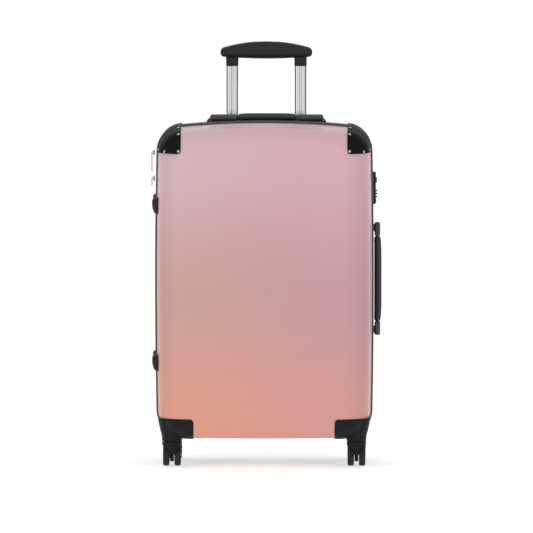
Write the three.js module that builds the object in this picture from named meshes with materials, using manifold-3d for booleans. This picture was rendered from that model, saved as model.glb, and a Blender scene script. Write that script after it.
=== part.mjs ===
// Hard shell suitcase on four double spinner casters, about 66 cm tall with the trolley handle down.
// Millimetres, +Z up, standing on its wheels. -Y is the printed front, +X the side with the lock.
// The origin is on the floor, at the middle of the whole object's footprint.
import * as THREE from "three";
import { LoftGeometry } from "three/addons/geometries/LoftGeometry.js";
import { mergeVertices } from "three/addons/utils/BufferGeometryUtils.js";
import Module from "manifold-3d";

const wasm = await Module();
wasm.setup();

// ---- driving dimensions ----
const SHELL = { width: 402.8, base: 52, top: 636.5, depth: 128, dome: 2.5, wall: 2.6 };
const CORNER = { top: 42, base: 50, least: 8, shrink: 0.35 }; // outline radii, and how they shrink inwards
const BOW = { side: 3.5, top: 12, base: 1.7 }; // how far the outline's sides curve outwards
const ROUND = { across: 58, deep: 52, ends: 24, steps: 5 }; // rounding into the face, at sides and ends
const FACE = 48; // how far inside the rounding the dome of each face is full
const DRAFT = { front: 4, back: 1 }; // how far the side wall leans in before the rounding starts
const LINING = { gap: 1.2, thick: 1.2, floor: 88, steps: 3 }; // the back one's floor hides the trolley tubes
const ZIP = { half: 14, proud: 3 }; // each tape's width along the depth, and how far it stands proud
const GAP = 0.3; // between pieces that touch
const GUARD = { thick: 2.4, across: 46.5, foot: 596, round: 6 };
const CAP = { thick: 3, across: 71, up: 92.5, round: 9 }; // wheel housing's corner cap
const FUNNEL = { foot: 18.5, lip: 20, top: 26, tall: 46 }; // radii and height of the housing's neck
const CASTER = { x: 175, y: 84, trail: 14, bottom: 48, pin: 4, web: 4, boss: 14 };
const HOOD = { half: 17.2, side: 38, knee: 27, mouth: 24, thick: 2, shield: 18.6, tip: 27, rise: 41 };
const WHEEL = { radius: 22, width: 12.4, bore: 2.3, inner: 4.6, segments: 20 };
const TUBE = { spacing: 130, width: 22.8, deep: 12, x: 2.8, y: 102, gap: 0.5, wall: 1.3 };
const STAGE = { innerFoot: 415, middleFoot: 290, outerFoot: 104, outerTop: 633 }; // the tubes' ends
const BEZEL = { foot: 634, top: 651, half: 113.8, slopeLong: 5.8, slopeHigh: 6, front: 20, back: 16 };
const SEAT = { wide: 190, deep: 24, below: 18, above: 22, round: 8 }; // the block under the trolley tubes
const SLEEVE = { bottom: 750, up: 6, round: 5.5, spigot: 20, spigotRound: 3.2 };
const ROD = { r: 2, room: 0.6, foot: 425, top: 781.6, travel: 3.5 }; // the release button's rods
const BUTTON = { long: 40, deep: 13, round: 6, room: 0.5, high: 5.3, down: 1.2, stem: 6 };
const GRIP = { half: 87.5, top: 798, arch: 13.5, bottom: 763.6, sag: 4, deep: 14, ends: 0.07 };
const OVAL = { fill: 0.8, square: 0.75 }; // how far the grip's ends close, and how square its section is
const CARRY = { half: 107.5, x: 4, y: 42, deep: 11, low: 4, high: 15, travel: 14, post: 97 };
const SOFT = { top: 54.5, side: 80 }; // half lengths of the carry handles' soft grips
const SINK = 2.5; // how far below the case's highest point the top carry handle is set
const POST = { half: 7, deep: 2.5, room: 1 }; // what holds a carry handle's ends, and its room in the slots
const PLATE = { rim: 1.5, deep: 2, below: 9, round: 6 }; // the base plate under a carry handle
const LOCK = { z: 522, long: 61, y: 32, wide: 26, low: 200, high: 211.6, round: 7 };
const DIAL = { r: 4.6, thick: 3, pitch: 5.7, proud: 3, below: 11, spindle: 1.2, bore: 1.5, room: 0.6 };
const CATCH = { long: 11, wide: 15, round: 3, up: 15, sunk: 2.5, proud: 1.6, travel: 5.5 };
const FOOT = { long: 38, wide: 34, high: 8, y: 52, upper: 493, lower: 195 };
const PULL = { upper: 590, lower: 541, upperLong: 34.5, lowerLong: 13.5, half: 2.2, pin: 0.9, bore: 1.15 };
const SLIDER = { r: 3.6, long: 11, out: 4, slot: 2.6 };
const GUSSET = { low: 190, high: 512, thick: 1.6 };

const MID_Z = (SHELL.base + SHELL.top) / 2;
const HANDLE_Z = 348.5; // middle of the side carry handle
const HALF_W = SHELL.width / 2;
const HALF_H = (SHELL.top - SHELL.base) / 2;
const SIDE_X = HALF_W + BOW.side; // the shell's widest half width
const TOP_Z = SHELL.top + BOW.top; // the case's highest point
const REACH = { left: SIDE_X + ZIP.proud + 7.6, right: SIDE_X + CARRY.high + 2.5 }; // zip pulls, carry handle
const CASE_X = (REACH.left - REACH.right) / 2; // puts the origin midway between them
const AXLE_Z = WHEEL.radius * Math.cos(Math.PI / WHEEL.segments); // the lowest facet lies on the floor

// ---- materials ----
const finish = (color, roughness, metalness = 0) =>
  new THREE.MeshStandardMaterial({ color, roughness, metalness });
const MATERIAL = {
  print: finish(0xd8a9a6, 0.2),
  blackShell: finish(0x1d1e20, 0.35),
  blackPlastic: finish(0x26282a, 0.5),
  softGrip: finish(0x303234, 0.75),
  tyre: finish(0x2e2f30, 0.8),
  tape: finish(0x232526, 0.9),
  lining: finish(0x3a3b40, 0.95),
  aluminium: finish(0xc9cbcd, 0.25, 1),
  steel: finish(0xb9bcbf, 0.3, 1),
};

// ---- helpers ----
// A closed geometry as a manifold-3d solid, turned outwards if its faces point in.
function toSolid(geometry) {
  const bare = new THREE.BufferGeometry().copy(geometry);
  for (const name of ["normal", "uv"]) bare.deleteAttribute(name);
  const merged = mergeVertices(bare, 1e-4);
  const index = merged.index.array;
  const triangles = [];
  for (let i = 0; i < index.length; i += 3) {
    const [a, b, c] = index.slice(i, i + 3);
    if (a !== b && b !== c && c !== a) triangles.push(a, b, c);
  }
  const make = (triVerts) =>
    new wasm.Manifold(
      new wasm.Mesh({
        numProp: 3,
        vertProperties: merged.attributes.position.array,
        triVerts: new Uint32Array(triVerts),
      }),
    );
  const solid = make(triangles);
  return solid.volume() > 0 ? solid : make(triangles.reverse());
}

function toGeometry(solid) {
  const mesh = solid.getMesh();
  const geometry = new THREE.BufferGeometry();
  geometry.setAttribute("position", new THREE.BufferAttribute(mesh.vertProperties, 3));
  geometry.setIndex(new THREE.BufferAttribute(mesh.triVerts, 1));
  geometry.computeVertexNormals();
  return geometry;
}

const suitcase = new THREE.Group();
const caseGroup = new THREE.Group();
caseGroup.position.x = CASE_X;
suitcase.add(caseGroup);

// Adds a named mesh, made from a geometry or from a solid, to a group.
function part(name, shape, material, group = caseGroup) {
  const geometry = shape.isBufferGeometry ? shape : toGeometry(shape);
  const mesh = new THREE.Mesh(geometry, material);
  mesh.name = name;
  group.add(mesh);
  return mesh;
}

const box = (x0, x1, y0, y1, z0, z1) =>
  toSolid(
    new THREE.BoxGeometry(x1 - x0, y1 - y0, z1 - z0).translate(
      (x0 + x1) / 2,
      (y0 + y1) / 2,
      (z0 + z1) / 2,
    ),
  );

// A round bar of radius r with its axis along X, Y or Z, centred on a point.
function bar(axis, r, length, x, y, z, segments = 16) {
  const geometry = new THREE.CylinderGeometry(r, r, length, segments);
  if (axis === "x") geometry.rotateZ(Math.PI / 2);
  if (axis === "z") geometry.rotateX(Math.PI / 2);
  return toSolid(geometry.translate(x, y, z));
}

// A rounded rectangle as a shape, centred on the origin.
function roundedShape(width, height, radius) {
  const [a, b] = [width / 2, height / 2];
  const shape = new THREE.Shape();
  shape.moveTo(a - radius, -b);
  shape.absarc(a - radius, -b + radius, radius, -Math.PI / 2, 0, false);
  shape.absarc(a - radius, b - radius, radius, 0, Math.PI / 2, false);
  shape.absarc(-a + radius, b - radius, radius, Math.PI / 2, Math.PI, false);
  shape.absarc(-a + radius, -b + radius, radius, Math.PI, 1.5 * Math.PI, false);
  return shape;
}

// A shape pushed along Z from z0 to z1.
const extrude = (shape, z0, z1, curveSegments = 4) =>
  new THREE.ExtrudeGeometry(shape, { depth: z1 - z0, bevelEnabled: false, curveSegments })
    .translate(0, 0, z0);

// A shape drawn in X and Z, pushed along Y from y0 to y1.
const extrudeY = (shape, y0, y1, curveSegments = 4) =>
  extrude(shape, -y1, -y0, curveSegments).rotateX(Math.PI / 2);

// A shape drawn in Y and Z, pushed along X from x0 to x1.
const extrudeX = (shape, x0, x1, curveSegments = 4) =>
  extrude(shape, x0, x1, curveSegments).rotateX(Math.PI / 2).rotateZ(Math.PI / 2);

// ---- the case's outline and body ----
// The outline, inset by side and by end from the rim: a rounded rectangle with bowed sides.
function outline(sideInset, endInset, y) {
  const [a, b] = [HALF_W - sideInset, HALF_H - endInset];
  const points = [];
  const cornerSteps = 5;
  const sides = [
    [1, 1, 3],
    [1, -1, 1],
    [-1, -1, 3],
    [-1, 1, 1],
  ]; // corner's signs, and how many points on the side after it
  sides.forEach(([sx, sz, between], i) => {
    const start = Math.PI / 2 - (i * Math.PI) / 2;
    const shrink = CORNER.shrink * (sideInset + endInset);
    const corner = (sign) => Math.max(CORNER[sign > 0 ? "top" : "base"] - shrink, CORNER.least);
    const radius = corner(sz);
    for (let k = 0; k <= cornerSteps; k++) {
      const turn = start - (k / cornerSteps) * (Math.PI / 2);
      points.push([sx * (a - radius) + radius * Math.cos(turn), sz * (b - radius) + radius * Math.sin(turn)]);
    }
    const [nx, nz] = [sides[(i + 1) % 4][0], sides[(i + 1) % 4][1]];
    const from = points[points.length - 1];
    const next = start - Math.PI / 2;
    const after = corner(nz);
    const to = [nx * (a - after) + after * Math.cos(next), nz * (b - after) + after * Math.sin(next)];
    for (let k = 1; k <= between; k++) {
      const t = k / (between + 1);
      points.push([from[0] + (to[0] - from[0]) * t, from[1] + (to[1] - from[1]) * t]);
    }
  });
  return points.map(([x, z]) => {
    const [u, w] = [x / a, z / b];
    return new THREE.Vector3(
      x + BOW.side * u * (1 - w * w),
      y,
      z + (w > 0 ? BOW.top : BOW.base) * w * (1 - u * u) + MID_Z,
    );
  });
}

// One half of the case as a filled solid, grown outwards; side is 1 for the back half and -1 for the front.
function halfSolid(side, grow = 0, rim = ZIP.half + GAP, steps = ROUND.steps) {
  const draft = side > 0 ? DRAFT.back : DRAFT.front;
  const rows = [outline(-grow, -grow, rim)];
  for (let i = 0; i <= steps; i++) {
    const a = (i / steps) * (Math.PI / 2);
    const y = SHELL.depth - ROUND.deep + (ROUND.deep + grow) * Math.sin(a);
    const rise = Math.min(Math.max((y - SHELL.depth + ROUND.ends) / (ROUND.ends + grow), 0), 1);
    const sideInset = draft + ROUND.across - (ROUND.across + grow) * Math.cos(a);
    const endInset = draft + ROUND.ends - (ROUND.ends + grow) * Math.sqrt(1 - rise ** 2);
    rows.push(outline(sideInset, endInset, y));
  }
  const middle = draft + FACE;
  rows.push(outline(middle + ROUND.across, middle + ROUND.ends, SHELL.depth + SHELL.dome + grow));
  return toSolid(new LoftGeometry(rows, { capStart: true, capEnd: true }).scale(1, side, 1));
}

// A ring that follows the outline, between two depths.
function band(outer, inner, y0, y1) {
  const filled = (grow, a, b) => {
    const rings = [outline(-grow, -grow, a), outline(-grow, -grow, b)];
    return toSolid(new LoftGeometry(rings, { capStart: true, capEnd: true }));
  };
  return filled(outer, y0, y1).subtract(filled(inner, y0 - 1, y1 + 1));
}

const BODY = { front: halfSolid(-1, GAP), back: halfSolid(1, GAP) };
const SIDES = { front: -1, back: 1 };

// ---- shells, linings and zip tapes ----
function handleSlots() {
  const slots = [];
  for (const s of [-1, 1]) {
    const along = s * CARRY.post;
    const half = POST.half + POST.room;
    const [y0, y1] = [CARRY.y - POST.deep - POST.room, CARRY.y + POST.deep + POST.room];
    const [x, z] = [CARRY.x + along, HANDLE_Z + along];
    slots.push(box(x - half, x + half, y0, y1, TOP_Z - CARRY.travel - 3, TOP_Z + 9));
    slots.push(box(SIDE_X - CARRY.travel, SIDE_X + 9, y0, y1, z - half, z + half));
  }
  return slots;
}

function tubeHoles(width, depth, z0, z1) {
  const holes = [];
  for (const s of [-1, 1]) {
    const shape = roundedShape(width, depth, depth / 2 - 1);
    const hole = extrude(shape, z0, z1, 2).translate((s * TUBE.spacing) / 2, TUBE.y, 0);
    holes.push(toSolid(hole));
  }
  return holes;
}

const cutAll = (solid, cutters) => cutters.reduce((left, cutter) => left.subtract(cutter), solid);

function frontHalf() {
  const shell = halfSolid(-1).subtract(halfSolid(-1, -SHELL.wall, ZIP.half));
  part("front_shell", shell, MATERIAL.print);
  part("front_zip_tape", band(ZIP.proud, 0, -ZIP.half, -GAP), MATERIAL.tape);
  const outer = halfSolid(-1, -SHELL.wall - LINING.gap, ZIP.half + GAP, LINING.steps);
  const inner = halfSolid(-1, -SHELL.wall - LINING.gap - LINING.thick, ZIP.half, LINING.steps);
  part("front_lining", outer.subtract(inner), MATERIAL.lining);
}

function backHalf() {
  const hollow = halfSolid(1, -SHELL.wall, ZIP.half);
  const throats = tubeHoles(33, 21, TOP_Z - 40, TOP_Z + 9);
  const openings = [...handleSlots(), ...throats.map((hole) => hole.translate([TUBE.x, 0, 0]))];
  part("back_shell", cutAll(halfSolid(1).subtract(hollow), openings), MATERIAL.blackShell);
  part("back_zip_tape", band(ZIP.proud, 0, GAP, ZIP.half), MATERIAL.tape);
  const before = (y) => box(-300, 300, 0, y, 0, 800);
  const { gap, thick, floor, steps } = LINING;
  const outer = halfSolid(1, -SHELL.wall - gap, ZIP.half + GAP, steps).intersect(before(floor + thick));
  const inner = halfSolid(1, -SHELL.wall - gap - thick, ZIP.half, steps).intersect(before(floor));
  part("back_lining", cutAll(outer.subtract(inner), handleSlots()), MATERIAL.lining);
}

// The fabric strip that hinges the halves on the left side, on the back half's tape.
function hingeGusset() {
  const x = -(SIDE_X + ZIP.proud + GAP);
  const strip = box(x - GUSSET.thick, x, GAP, ZIP.half - 2, GUSSET.low, GUSSET.high);
  part("hinge_gusset", strip, MATERIAL.tape);
}

// ---- corner guards and wheel housings ----
// A block over one corner of a half, with a rounded inner corner, as seen from the front.
function cornerBlock(side, across, zLow, zHigh, radius, roundTop) {
  const inner = -(SIDE_X - across);
  const outer = -(SIDE_X + 20);
  const shape = new THREE.Shape();
  const [zRound, zFlat, s] = roundTop ? [zHigh, zLow, 1] : [zLow, zHigh, -1];
  shape.moveTo(outer, zFlat);
  shape.lineTo(inner, zFlat);
  shape.lineTo(inner, zRound - s * radius);
  shape.absarc(inner - radius, zRound - s * radius, radius, 0, (s * Math.PI) / 2, !roundTop);
  shape.lineTo(outer, zRound);
  const [y0, y1] = [ZIP.half + 2, SHELL.depth + 12];
  return toSolid(side > 0 ? extrudeY(shape, y0, y1) : extrudeY(shape, -y1, -y0));
}

const skin = (half, thick) => halfSolid(SIDES[half], thick, ZIP.half + 2).subtract(BODY[half]);

function cornerGuards(half) {
  const block = cornerBlock(SIDES[half], GUARD.across, GUARD.foot, TOP_Z + 20, GUARD.round, false);
  const guard = toGeometry(skin(half, GUARD.thick).intersect(block));
  part(`corner_guard_${half}_left`, guard, MATERIAL.blackPlastic);
  part(`corner_guard_${half}_right`, guard, MATERIAL.blackPlastic).scale.x = -1;
}

function wheelHousings(half) {
  const side = SIDES[half];
  const cap = skin(half, CAP.thick).intersect(
    cornerBlock(side, CAP.across, 0, CAP.up, CAP.round, true),
  );
  const funnelTop = CASTER.bottom + FUNNEL.tall;
  const funnelProfile = [
    [0, CASTER.bottom],
    [FUNNEL.foot, CASTER.bottom],
    [FUNNEL.lip, CASTER.bottom + 3],
    [FUNNEL.top, funnelTop],
    [0, funnelTop],
  ].map(([r, z]) => new THREE.Vector2(r, z));
  const funnel = toSolid(
    new THREE.LatheGeometry(funnelProfile, 16)
      .rotateX(Math.PI / 2)
      .translate(-CASTER.x, side * CASTER.y, 0),
  );
  const socket = bar("z", CASTER.pin + 0.4, 10, -CASTER.x, side * CASTER.y, CASTER.bottom + 3.5);
  const housing = toGeometry(cap.add(funnel.subtract(BODY[half])).subtract(socket));
  part(`wheel_housing_${half}_left`, housing, MATERIAL.blackPlastic);
  part(`wheel_housing_${half}_right`, housing, MATERIAL.blackPlastic).scale.x = -1;
}

// ---- casters: fork with kingpin, axle and two wheels ----
// The fork's origin is on the floor below its kingpin; the wheels trail behind it.
function forkSolid() {
  const { trail, web, boss } = CASTER;
  const crownTop = CASTER.bottom - 1.5;
  const leg = new THREE.Shape();
  leg.moveTo(-15, crownTop - 3);
  leg.lineTo(-15, crownTop);
  leg.lineTo(15, crownTop);
  leg.lineTo(trail + boss, AXLE_Z);
  leg.absarc(trail, AXLE_Z, boss, 0, -0.85 * Math.PI, true);
  leg.lineTo(-9, 30);
  const aroundAxle = (r, length) => bar("x", r, length, 0, trail, AXLE_Z, WHEEL.segments);
  const tyreRoom = aroundAxle(WHEEL.radius + 1.2, 60);
  const crown = bar("z", HOOD.half, 2.5, 0, 0, crownTop - 0.75);
  const kingpin = bar("z", CASTER.pin, 9, 0, 0, CASTER.bottom + 2.5);
  return toSolid(extrudeX(leg, -web, web, 6))
    .add(crown.subtract(tyreRoom))
    .add(hoodSolid(crownTop).intersect(aroundAxle(WHEEL.radius + 3.2, 40)).subtract(tyreRoom))
    .add(shieldSolid(crownTop).subtract(tyreRoom))
    .add(kingpin)
    .subtract(bar("x", WHEEL.bore, 20, 0, trail, AXLE_Z, 12));
}

// The hood's outline as seen from the front, pushed back over the wheels.
function hoodSolid(top) {
  const { half, side, knee, mouth } = HOOD;
  const shape = new THREE.Shape();
  shape.moveTo(-half, top);
  shape.lineTo(-half, side);
  shape.quadraticCurveTo(-14, knee, -4, mouth);
  shape.lineTo(4, mouth);
  shape.quadraticCurveTo(14, knee, half, side);
  shape.lineTo(half, top);
  return toSolid(extrudeY(shape, -30, CASTER.trail + 8, 3));
}

// The curved shield in front of the wheels, its lower edge drawn down to a point.
function shieldSolid(top) {
  const { shield, thick, tip, rise } = HOOD;
  const shape = new THREE.Shape();
  shape.moveTo(-shield - 1, top);
  shape.lineTo(-shield - 1, rise);
  shape.lineTo(0, tip);
  shape.lineTo(shield + 1, rise);
  shape.lineTo(shield + 1, top);
  const tall = top - tip;
  const wall = bar("z", shield, tall, 0, 0, tip + tall / 2, 24);
  const hollow = bar("z", shield - thick, tall + 2, 0, 0, tip + tall / 2, 24);
  return toSolid(extrudeY(shape, -shield - 1, 0)).intersect(wall.subtract(hollow));
}

function wheelGeometry() {
  const [w, r] = [WHEEL.width / 2, WHEEL.radius];
  const profile = [
    [WHEEL.bore, -w],
    [r - 1.5, -w],
    [r, -w + 2.5],
    [r, w - 2.5],
    [r - 1.5, w],
    [WHEEL.bore, w],
    [WHEEL.bore, -w],
  ].map(([radius, along]) => new THREE.Vector2(radius, along));
  const turned = new THREE.LatheGeometry(profile, WHEEL.segments, Math.PI / WHEEL.segments);
  return toGeometry(toSolid(turned.rotateZ(Math.PI / 2)));
}

function casters() {
  const fork = toGeometry(forkSolid());
  const wheel = wheelGeometry();
  const axleHalf = WHEEL.inner + WHEEL.width + 1;
  const axle = new THREE.CylinderGeometry(2, 2, 2 * axleHalf, 12).rotateZ(Math.PI / 2);
  const offset = WHEEL.inner + WHEEL.width / 2;
  for (const half of ["front", "back"]) {
    for (const [side, sx] of [["left", -1], ["right", 1]]) {
      const group = new THREE.Group();
      group.position.set(sx * CASTER.x, SIDES[half] * CASTER.y, 0);
      caseGroup.add(group);
      const place = `${half}_${side}`;
      part(`fork_${place}`, fork, MATERIAL.blackPlastic, group);
      const centre = [CASTER.trail, AXLE_Z];
      part(`axle_${place}`, axle, MATERIAL.steel, group).position.set(0, ...centre);
      part(`wheel_${place}_outer`, wheel, MATERIAL.tyre, group).position.set(sx * offset, ...centre);
      part(`wheel_${place}_inner`, wheel, MATERIAL.tyre, group).position.set(-sx * offset, ...centre);
    }
  }
}

// ---- trolley handle ----
// An oval tube of an outer size, hollow, between two heights.
function tube(width, depth, z0, z1) {
  const shape = roundedShape(width, depth, depth / 2 - 1);
  const { wall } = TUBE;
  shape.holes.push(roundedShape(width - 2 * wall, depth - 2 * wall, depth / 2 - 1 - wall));
  return extrude(shape, z0, z1, 2).translate(0, TUBE.y, 0);
}

function trolley() {
  const group = new THREE.Group();
  group.position.x = TUBE.x;
  caseGroup.add(group);
  const step = 2 * (TUBE.wall + TUBE.gap); // each tube is this much wider than the one inside it
  const [w, d] = [TUBE.width, TUBE.deep];
  const stages = [
    ["inner_tube", w, d, STAGE.innerFoot, SLEEVE.bottom - GAP],
    ["middle_tube", w + step, d + step, STAGE.middleFoot, BEZEL.top],
    ["outer_tube", w + 2 * step, d + 2 * step, STAGE.outerFoot, STAGE.outerTop],
  ];
  for (const [name, width, depth, z0, z1] of stages) {
    for (const [side, sx] of [["left", -1], ["right", 1]]) {
      const mesh = part(`${name}_${side}`, tube(width, depth, z0, z1), MATERIAL.aluminium, group);
      mesh.position.x = (sx * TUBE.spacing) / 2;
    }
  }
  trolleyBezel(group, w + step + 1, d + step + 1);
  const baseShape = roundedShape(SEAT.wide, SEAT.deep, SEAT.round);
  const base = toSolid(extrude(baseShape, STAGE.outerFoot - SEAT.below, STAGE.outerFoot + SEAT.above));
  const room = 2 * (step + GAP);
  const seats = tubeHoles(w + room, d + room, STAGE.outerFoot - GAP, STAGE.outerFoot + 2 * SEAT.above);
  part("trolley_base", cutAll(base.translate([0, TUBE.y, 0]), seats), MATERIAL.blackPlastic, group);
  trolleyGrip(group);
}

// The plastic plate on the back shell's top, with a slot for each tube and sloping ends.
function trolleyBezel(group, slotWidth, slotDepth) {
  const { foot, top, half, slopeLong, slopeHigh } = BEZEL;
  const side = new THREE.Shape();
  side.moveTo(-half, foot);
  side.lineTo(half, foot);
  side.lineTo(half, top - slopeHigh);
  side.lineTo(half - slopeLong, top);
  side.lineTo(slopeLong - half, top);
  side.lineTo(-half, top - slopeHigh);
  const block = toSolid(extrudeY(side, TUBE.y - BEZEL.front, TUBE.y + BEZEL.back));
  const throats = tubeHoles(31, 19, foot, top - 1);
  const cover = block.subtract(BODY.back.translate([-TUBE.x, 0, 0]));
  const body = throats.reduce((all, one) => all.add(one), cover);
  const bezel = cutAll(body, tubeHoles(slotWidth, slotDepth, foot - 9, top + 9));
  part("trolley_bezel", bezel, MATERIAL.blackPlastic, group);
}

// An arched grip with two sockets over the inner tubes, and a release button let into its top.
function trolleyGrip(group) {
  const sections = [];
  const [steps, around] = [12, 12];
  for (let i = 0; i <= steps; i++) {
    const t = Math.sin((i / steps - 0.5) * Math.PI); // closer sections towards the ends
    const over = Math.max((Math.abs(t) - 1) / GRIP.ends + 1, 0);
    const fill = Math.sqrt(1 - OVAL.fill * over ** 2); // rounded ends
    const top = GRIP.top - GRIP.arch * t * t;
    const bottom = GRIP.bottom + GRIP.sag * t * t;
    const [middle, half] = [(top + bottom) / 2, ((top - bottom) / 2) * fill];
    const ring = [];
    for (let k = 0; k < around; k++) {
      const a = (k / around) * 2 * Math.PI;
      const square = (v) => Math.sign(v) * Math.abs(v) ** OVAL.square;
      ring.push(
        new THREE.Vector3(
          t * GRIP.half,
          TUBE.y + GRIP.deep * fill * square(Math.cos(a)),
          middle + half * square(Math.sin(a)),
        ),
      );
    }
    sections.push(ring);
  }
  let grip = toSolid(new LoftGeometry(sections, { capStart: true, capEnd: true }));
  const slack = 2 * (TUBE.wall + GAP);
  const sleeveShape = roundedShape(TUBE.width + 1, TUBE.deep + 1, SLEEVE.round);
  const spigotShape = roundedShape(TUBE.width - slack, TUBE.deep - slack, SLEEVE.spigotRound);
  for (const s of [-1, 1]) {
    const sleeve = extrude(sleeveShape, SLEEVE.bottom, GRIP.bottom + SLEEVE.up, 3);
    const spigot = extrude(spigotShape, SLEEVE.bottom - SLEEVE.spigot, SLEEVE.bottom + 1, 2);
    for (const leg of [sleeve, spigot]) {
      grip = grip.add(toSolid(leg.translate((s * TUBE.spacing) / 2, TUBE.y, 0)));
    }
  }
  releaseButton(group, grip);
}

// The button in the grip's top, its crossbar and two rods in one piece, and their channels through the grip.
function releaseButton(group, grip) {
  const x = TUBE.spacing / 2;
  const { r, room, foot, top, travel } = ROD;
  const crossbar = (side, low, high) =>
    box(-x - side, x + side, TUBE.y - side, TUBE.y + side, top + low, top + high);
  const rods = (radius) =>
    [-1, 1].map((s) => bar("z", radius, top - foot, s * x, TUBE.y, (foot + top) / 2, 8));
  const capShape = (grow) => roundedShape(BUTTON.long + 2 * grow, BUTTON.deep + 2 * grow, BUTTON.round);
  const push = (shape, z0, z1) => toSolid(extrude(shape, z0, z1, 3).translate(0, TUBE.y, 0));
  const pocket = push(capShape(BUTTON.room), top - 4 - travel, GRIP.top + 9);
  const channels = [pocket, crossbar(r + room, -3 - travel, 0.8), ...rods(r + room)];
  part("trolley_grip", cutAll(grip, channels), MATERIAL.blackPlastic, group);
  const capTop = GRIP.top - BUTTON.down;
  const cap = push(capShape(0), capTop - BUTTON.high, capTop);
  const { stem } = BUTTON;
  const post = box(-stem, stem, TUBE.y - r, TUBE.y + r, top - r, capTop - BUTTON.high + 0.5);
  const button = [post, crossbar(r, -r, 0), ...rods(r)].reduce((all, one) => all.add(one), cap);
  part("release_button", button, MATERIAL.blackPlastic, group);
}

// ---- carry handles ----
// Made with its length along X, then turned about Y and moved into place; plateTop is its plate's height.
function carryHandle(name, turn, place, plateTop, soft) {
  const { half, deep, low, high, post, travel } = CARRY;
  const group = new THREE.Group();
  group.position.set(...place);
  group.rotation.y = (turn * Math.PI) / 180;
  caseGroup.add(group);

  const baseShape = roundedShape(2 * (half + PLATE.rim), 2 * (deep + PLATE.deep), PLATE.round);
  const [slotHalf, slotDeep] = [POST.half + POST.room, POST.deep + POST.room];
  const slots = [-1, 1].map((s) =>
    box(s * post - slotHalf, s * post + slotHalf, -slotDeep, slotDeep, -travel - 1, low + 1),
  );
  const block = cutAll(toSolid(extrude(baseShape, -PLATE.below, plateTop, 3)), slots);
  const base = block.rotate([0, turn, 0]).translate(place).subtract(BODY.back);
  part(`${name}_base`, base, MATERIAL.blackPlastic);

  const thick = high - low;
  const middle = (low + high) / 2;
  const end = (s) => {
    const shape = roundedShape(half - soft, thick, 3.5);
    return toSolid(extrudeY(shape, -deep, deep).translate((s * (half + soft)) / 2, 0, middle));
  };
  const coreDeep = 7;
  const [coreLow, coreHigh] = [low + 2, high - 2.5];
  const core = box(-soft - 2, soft + 2, -coreDeep, coreDeep, coreLow, coreHigh);
  const postBox = (s) =>
    box(s * post - POST.half, s * post + POST.half, -POST.deep, POST.deep, 0.5 - travel, low + 1);
  const frame = [end(-1), end(1), postBox(-1), postBox(1)].reduce((all, one) => all.add(one), core);
  part(`${name}_frame`, frame, MATERIAL.blackPlastic, group);

  const rows = [];
  for (let i = 0; i <= 6; i++) {
    const t = i / 3 - 1;
    const swell = 1 - t ** 6;
    const ring = [];
    for (let k = 0; k < 12; k++) {
      const a = (k / 12) * 2 * Math.PI;
      ring.push(
        new THREE.Vector3(
          t * (soft - GAP),
          (deep - 0.5 + 1.5 * swell) * Math.cos(a),
          middle + swell + (thick / 2 + 0.5 + swell) * Math.sin(a),
        ),
      );
    }
    rows.push(ring);
  }
  const sleeve = toSolid(new LoftGeometry(rows, { capStart: true, capEnd: true }));
  const roomDeep = coreDeep + GAP;
  const room = box(-soft - 4, soft + 4, -roomDeep, roomDeep, coreLow - GAP, coreHigh + GAP);
  part(`${name}_grip`, sleeve.subtract(room), MATERIAL.softGrip, group);
}

// ---- combination lock ----
function lock() {
  const { low, high, z, long, y, wide, round } = LOCK;
  const { r, room, pitch } = DIAL;
  const plate = extrudeX(roundedShape(wide, long, round), low, high, 5).translate(0, y, z);
  const x = high + DIAL.proud - r;
  const middle = z - DIAL.below;
  const dials = [-1, 0, 1].map((i) => middle + i * pitch);
  const tall = DIAL.thick / 2 + 0.4;
  const windows = dials.map((dz) =>
    box(low - 1, high + 1, y - r - room, y + r + room, dz - tall, dz + tall),
  );
  const spindle = bar("z", DIAL.spindle, 3 * pitch + 2, x, y, middle, 8);
  const catchZ = z + CATCH.up;
  const [halfLong, halfWide] = [CATCH.long / 2, CATCH.wide / 2];
  const recess = box(
    high - CATCH.sunk,
    high + 5,
    y - halfWide - 0.5,
    y + halfWide + 0.5,
    catchZ - halfLong - CATCH.travel,
    catchZ + halfLong + 0.5,
  );
  const body = cutAll(toSolid(plate).subtract(BODY.back), windows).add(spindle).subtract(recess);
  part("lock_body", body, MATERIAL.blackPlastic);
  dials.forEach((dz, i) => {
    const disc = bar("z", r, DIAL.thick, x, y, dz, 20).subtract(bar("z", DIAL.bore, 5, x, y, dz, 8));
    part(`lock_dial_${i + 1}`, disc, MATERIAL.blackPlastic);
  });
  const catchShape = roundedShape(CATCH.wide, CATCH.long, CATCH.round);
  const catchPart = extrudeX(catchShape, high - CATCH.sunk + GAP, high + CATCH.proud);
  part("lock_catch", catchPart.translate(0, y, catchZ), MATERIAL.blackPlastic);
}

// ---- side feet ----
// A low oval dome with a small flat on top, and its base cut to the side wall.
function sideFeet(half) {
  const domeSteps = 4;
  const sweep = 0.42 * Math.PI; // stops short of the pole, which leaves the flat
  const profile = [new THREE.Vector2(0, 0)];
  for (let i = 0; i <= domeSteps; i++) {
    const a = (i / domeSteps) * sweep;
    profile.push(new THREE.Vector2(Math.cos(a), Math.sin(a) / Math.sin(sweep)));
  }
  profile.push(new THREE.Vector2(0, 1));
  const sink = half === "front" ? DRAFT.front : DRAFT.back;
  const dome = new THREE.LatheGeometry(profile, 16)
    .rotateZ(Math.PI / 2)
    .scale(FOOT.high + sink, FOOT.wide / 2, FOOT.long / 2)
    .translate(-(SIDE_X - sink), SIDES[half] * FOOT.y, 0);
  for (const place of ["upper", "lower"]) {
    const foot = toSolid(dome.clone().translate(0, 0, FOOT[place]));
    part(`side_foot_${half}_${place}`, foot.subtract(BODY[half]), MATERIAL.blackPlastic);
  }
}

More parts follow.
